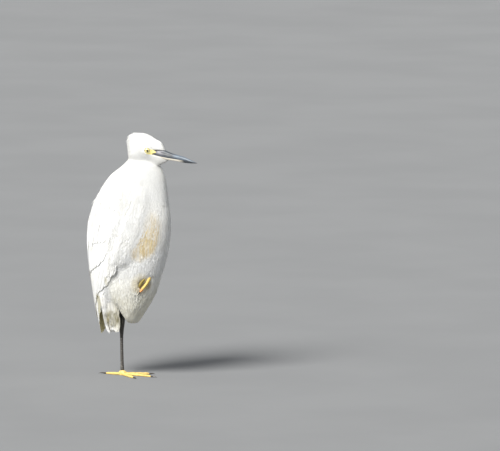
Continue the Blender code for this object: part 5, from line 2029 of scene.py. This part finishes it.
def scuted(name, centres, radii, scutes, sides, raised, on_top=False, floor=None):
    """A limb drawn out through its centres, with raised, overlapping scutes, on demand only on top."""
    length, lines = curve_through(centres, 200, radii)
    sections = []
    for i in range(scutes):
        sections += [((i + part) / scutes, swell, groove) for part, swell, groove in SCUTE]
    sections.append((1.0, 0.3, 0.6))
    rings = []
    for s, swell, _ in sections:
        *centre, r = read(lines, length * s)

        def radius_at(angle, r=r, swell=swell):
            top = max(0.0, math.sin(angle)) ** 0.5 if on_top else 1.0
            return float(r * (1 + raised * (swell - 0.6) * top))

        rings.append(round_ring(Vector(centre), way_along(lines, length, s), radius_at, sides, floor))
    return drawn(name, rings, [groove for _, _, groove in sections])


def toe_radii(count, joints, first, last):
    radii = []
    for i in range(count):
        s = i / (count - 1)
        swell = 1 + 0.09 * math.cos(math.tau * joints * s + math.pi)
        radii.append((first + (last - first) * s) * swell)
    radii[-1] *= 0.55
    return radii


def pad(name, at, size, headings, finish, node_name, floor=None):
    """The sole: a cushion drawn out into a lobe towards each toe, with pimples underneath."""
    obj = basic(name, "uv_sphere", segments=48, ring_count=28, radius=1.0)
    places = vertex_places(obj)
    turn = np.arctan2(places[:, 1], places[:, 0])
    lobe = np.zeros(len(places))
    for heading in headings:
        off = np.angle(np.exp(1j * (turn - math.radians(heading))))
        lobe = np.maximum(lobe, np.exp(-((off / 0.42) ** 2)))
    flat = np.hypot(places[:, 0], places[:, 1])
    places[:, :2] *= (0.86 + 0.3 * lobe * smoothstep(0.3, 1.0, flat))[:, None]
    pimples = np.sin(places[:, 0] * 11) * np.sin(places[:, 1] * 11) * smoothstep(0.2, -0.3, places[:, 2])
    places *= (1 + 0.03 * pimples)[:, None]
    places = places * np.array(size) + np.array(at)
    if floor is not None:
        places[:, 2] = np.maximum(places[:, 2], floor)
    move_vertices(obj, places)
    give(obj, finish, "toe", node_name, smooth=60)


def curved_claw(name, centres, radius, finish, node_name, floor=None):
    length, lines = curve_through(centres, 100)
    rings = []
    for s in np.linspace(0, 1, 14):
        r = max(0.00012, radius * (1 - s**1.3))
        at = Vector(read(lines, length * s))
        rings.append(round_ring(at, way_along(lines, length, s), lambda angle, r=r: r, 12, floor))
    give(drawn(name, rings), finish, "claw", node_name, smooth=60)


def standing_toe(name, turn, length, joints, claw_length, yellow, horn):
    ahead = Vector((math.cos(turn), math.sin(turn), 0))
    aside = Vector((-ahead.y, ahead.x, 0))
    last = TOE_RINGS - 1
    centres = []
    for i in range(TOE_RINGS):
        s = i / last
        bend = 0.03 * length * math.sin(math.pi * s) * (1 if turn > 0 else -1)
        full = TOE_RADIUS + (TOE_TIP_RADIUS - TOE_RADIUS) * s
        at = ahead * (length * s) + aside * bend
        at.z = 0.8 * full * (1 if i < last else 0.8)
        centres.append(at)
    radii = toe_radii(TOE_RINGS, joints, TOE_RADIUS, TOE_TIP_RADIUS)
    toe = scuted(f"digit_left_{name}", centres, radii, int(length / 0.0021), 14, 0.2, True, 0.0)
    give(toe, yellow, "toe", f"toe_left_{name}", smooth=45)
    points = []
    for s, height in CLAW_LINE:
        reach = length + (s * claw_length if s > 0 else s)
        points.append(ahead * reach + Vector((0, 0, height)))
    curved_claw(f"nail_left_{name}", points, CLAW_RADIUS, horn, f"claw_left_{name}", 0.0)


def standing_leg(black, yellow, horn):
    centres = [ANKLE.lerp(SHANK_FOOT, s) for s, _ in SHANK_WIDTHS]
    for c, (s, _) in zip(centres, SHANK_WIDTHS):
        c.x -= 0.0006 * math.sin(math.pi * max(s, 0.0))
    radii = [SHANK_RADIUS * w for _, w in SHANK_WIDTHS]
    shank = scuted("leg_left", centres, radii, 30, 16, 0.16)
    give(shank, black, "shank", "shank_left", smooth=45)
    ends = [THIGH_TOP.lerp(ANKLE, s) for s in (0, 0.35, 0.7, 1)]
    thigh = scuted("shin_left", ends, THIGH_RADII, 14, 16, 0.12)
    give(thigh, black, "shank", "thigh_left", smooth=45)
    headings = [toe[1] for toe in TOES]
    pad("sole_left", Vector((0, 0, PALM_HEIGHT)), PALM_SIZE, headings, yellow, "foot_left", floor=0.0)
    for name, heading, *sizes in TOES:
        standing_toe(name, math.radians(heading), *sizes, yellow, horn)


def tucked_foot(black, yellow, shaded, horn):
    """The right foot, drawn up into the belly's feathers."""
    start, end = trunk_at(*TUCKED_PALM), trunk_at(*KNUCKLE_TOP)
    pad("sole_right", start, (TUCKED_PALM_SIZE,) * 3, (-150, -110, 160), yellow, "foot_right")
    centres = [start.lerp(end, s) for s in (0, 0.3, 0.6, 1)]
    shank = scuted("leg_right", centres, TUCKED_SHANK_RADII, 6, 16, 0.14)
    give(shank, black, "shank", "shank_right", smooth=45)
    radii = toe_radii(TOE_RINGS, 2, TUCKED_TOE_RADIUS, TUCKED_TIP_RADIUS)
    for name, places, claw_places in TUCKED_TOES:
        centres = smoothed([trunk_at(*place) for place in places], TOE_RINGS)
        length = sum((b - a).length for a, b in zip(centres, centres[1:]))
        toe = scuted(f"digit_right_{name}", centres, radii, int(length / 0.0018), 14, 0.1)
        give(toe, shaded if name == "inner" else yellow, "toe", f"toe_right_{name}", smooth=45)
        points = smoothed([trunk_at(*place) for place in [places[-1], *claw_places]], 6)
        back = (points[0] - points[1]).normalized()
        points = [points[0] + back * 0.0012] + points
        curved_claw(f"nail_right_{name}", points, TUCKED_CLAW_RADIUS, horn, f"claw_right_{name}")


studio()
SKIN = build_skin()
map_skin(SKIN)
SKIN.data.shade_smooth()
give(SKIN, skin_finish(), "plumage", "head", "neck", "trunk")
SURFACE = Surface(SKIN)
WHITE = plumage_finish("plumage_white", PLUME_TAN)
coat_over_skin(SURFACE, WHITE)
crest(SURFACE, WHITE)
# The wing feathers' finish: white, with painted khaki shade on their undersides.
QUILLS = plumage_finish("plumage_quills", QUILL_SHADE_KHAKI)
WINGS = [build_wing(1, "plumage_wing_left", QUILLS), build_wing(-1, "plumage_wing_right", QUILLS)]
SURFACE.cover(WINGS)
build_tail(WHITE)
shoulder_feathers(SURFACE, WHITE)
breast_plumes(SURFACE, WHITE)
build_bill()
EYE, LIDS = eye_finish(), lid_finish()
for eye_side, eye_name in ((1, "eye_left"), (-1, "eye_right")):
    build_eye(eye_side, eye_name, EYE)
    build_lids(eye_side, "lids_" + eye_name, LIDS)
BLACK = scaly_finish("leg_black", LEG_BLACK, 800, 0.45, glints=LEG_PAINTED_GLINTS)
YELLOW = scaly_finish("toe_yellow", TOE_YELLOW, 1100, 0.48, trunk_at(*ORANGE_END))
# The inner tucked toe's finish: the toe colours with painted shade.
SHADED = scaly_finish("toe_painted_shade", TOE_PAINTED_SHADE, 1100, 0.6)
HORN = claw_finish()
standing_leg(BLACK, YELLOW, HORN)
tucked_foot(BLACK, YELLOW, SHADED, HORN)
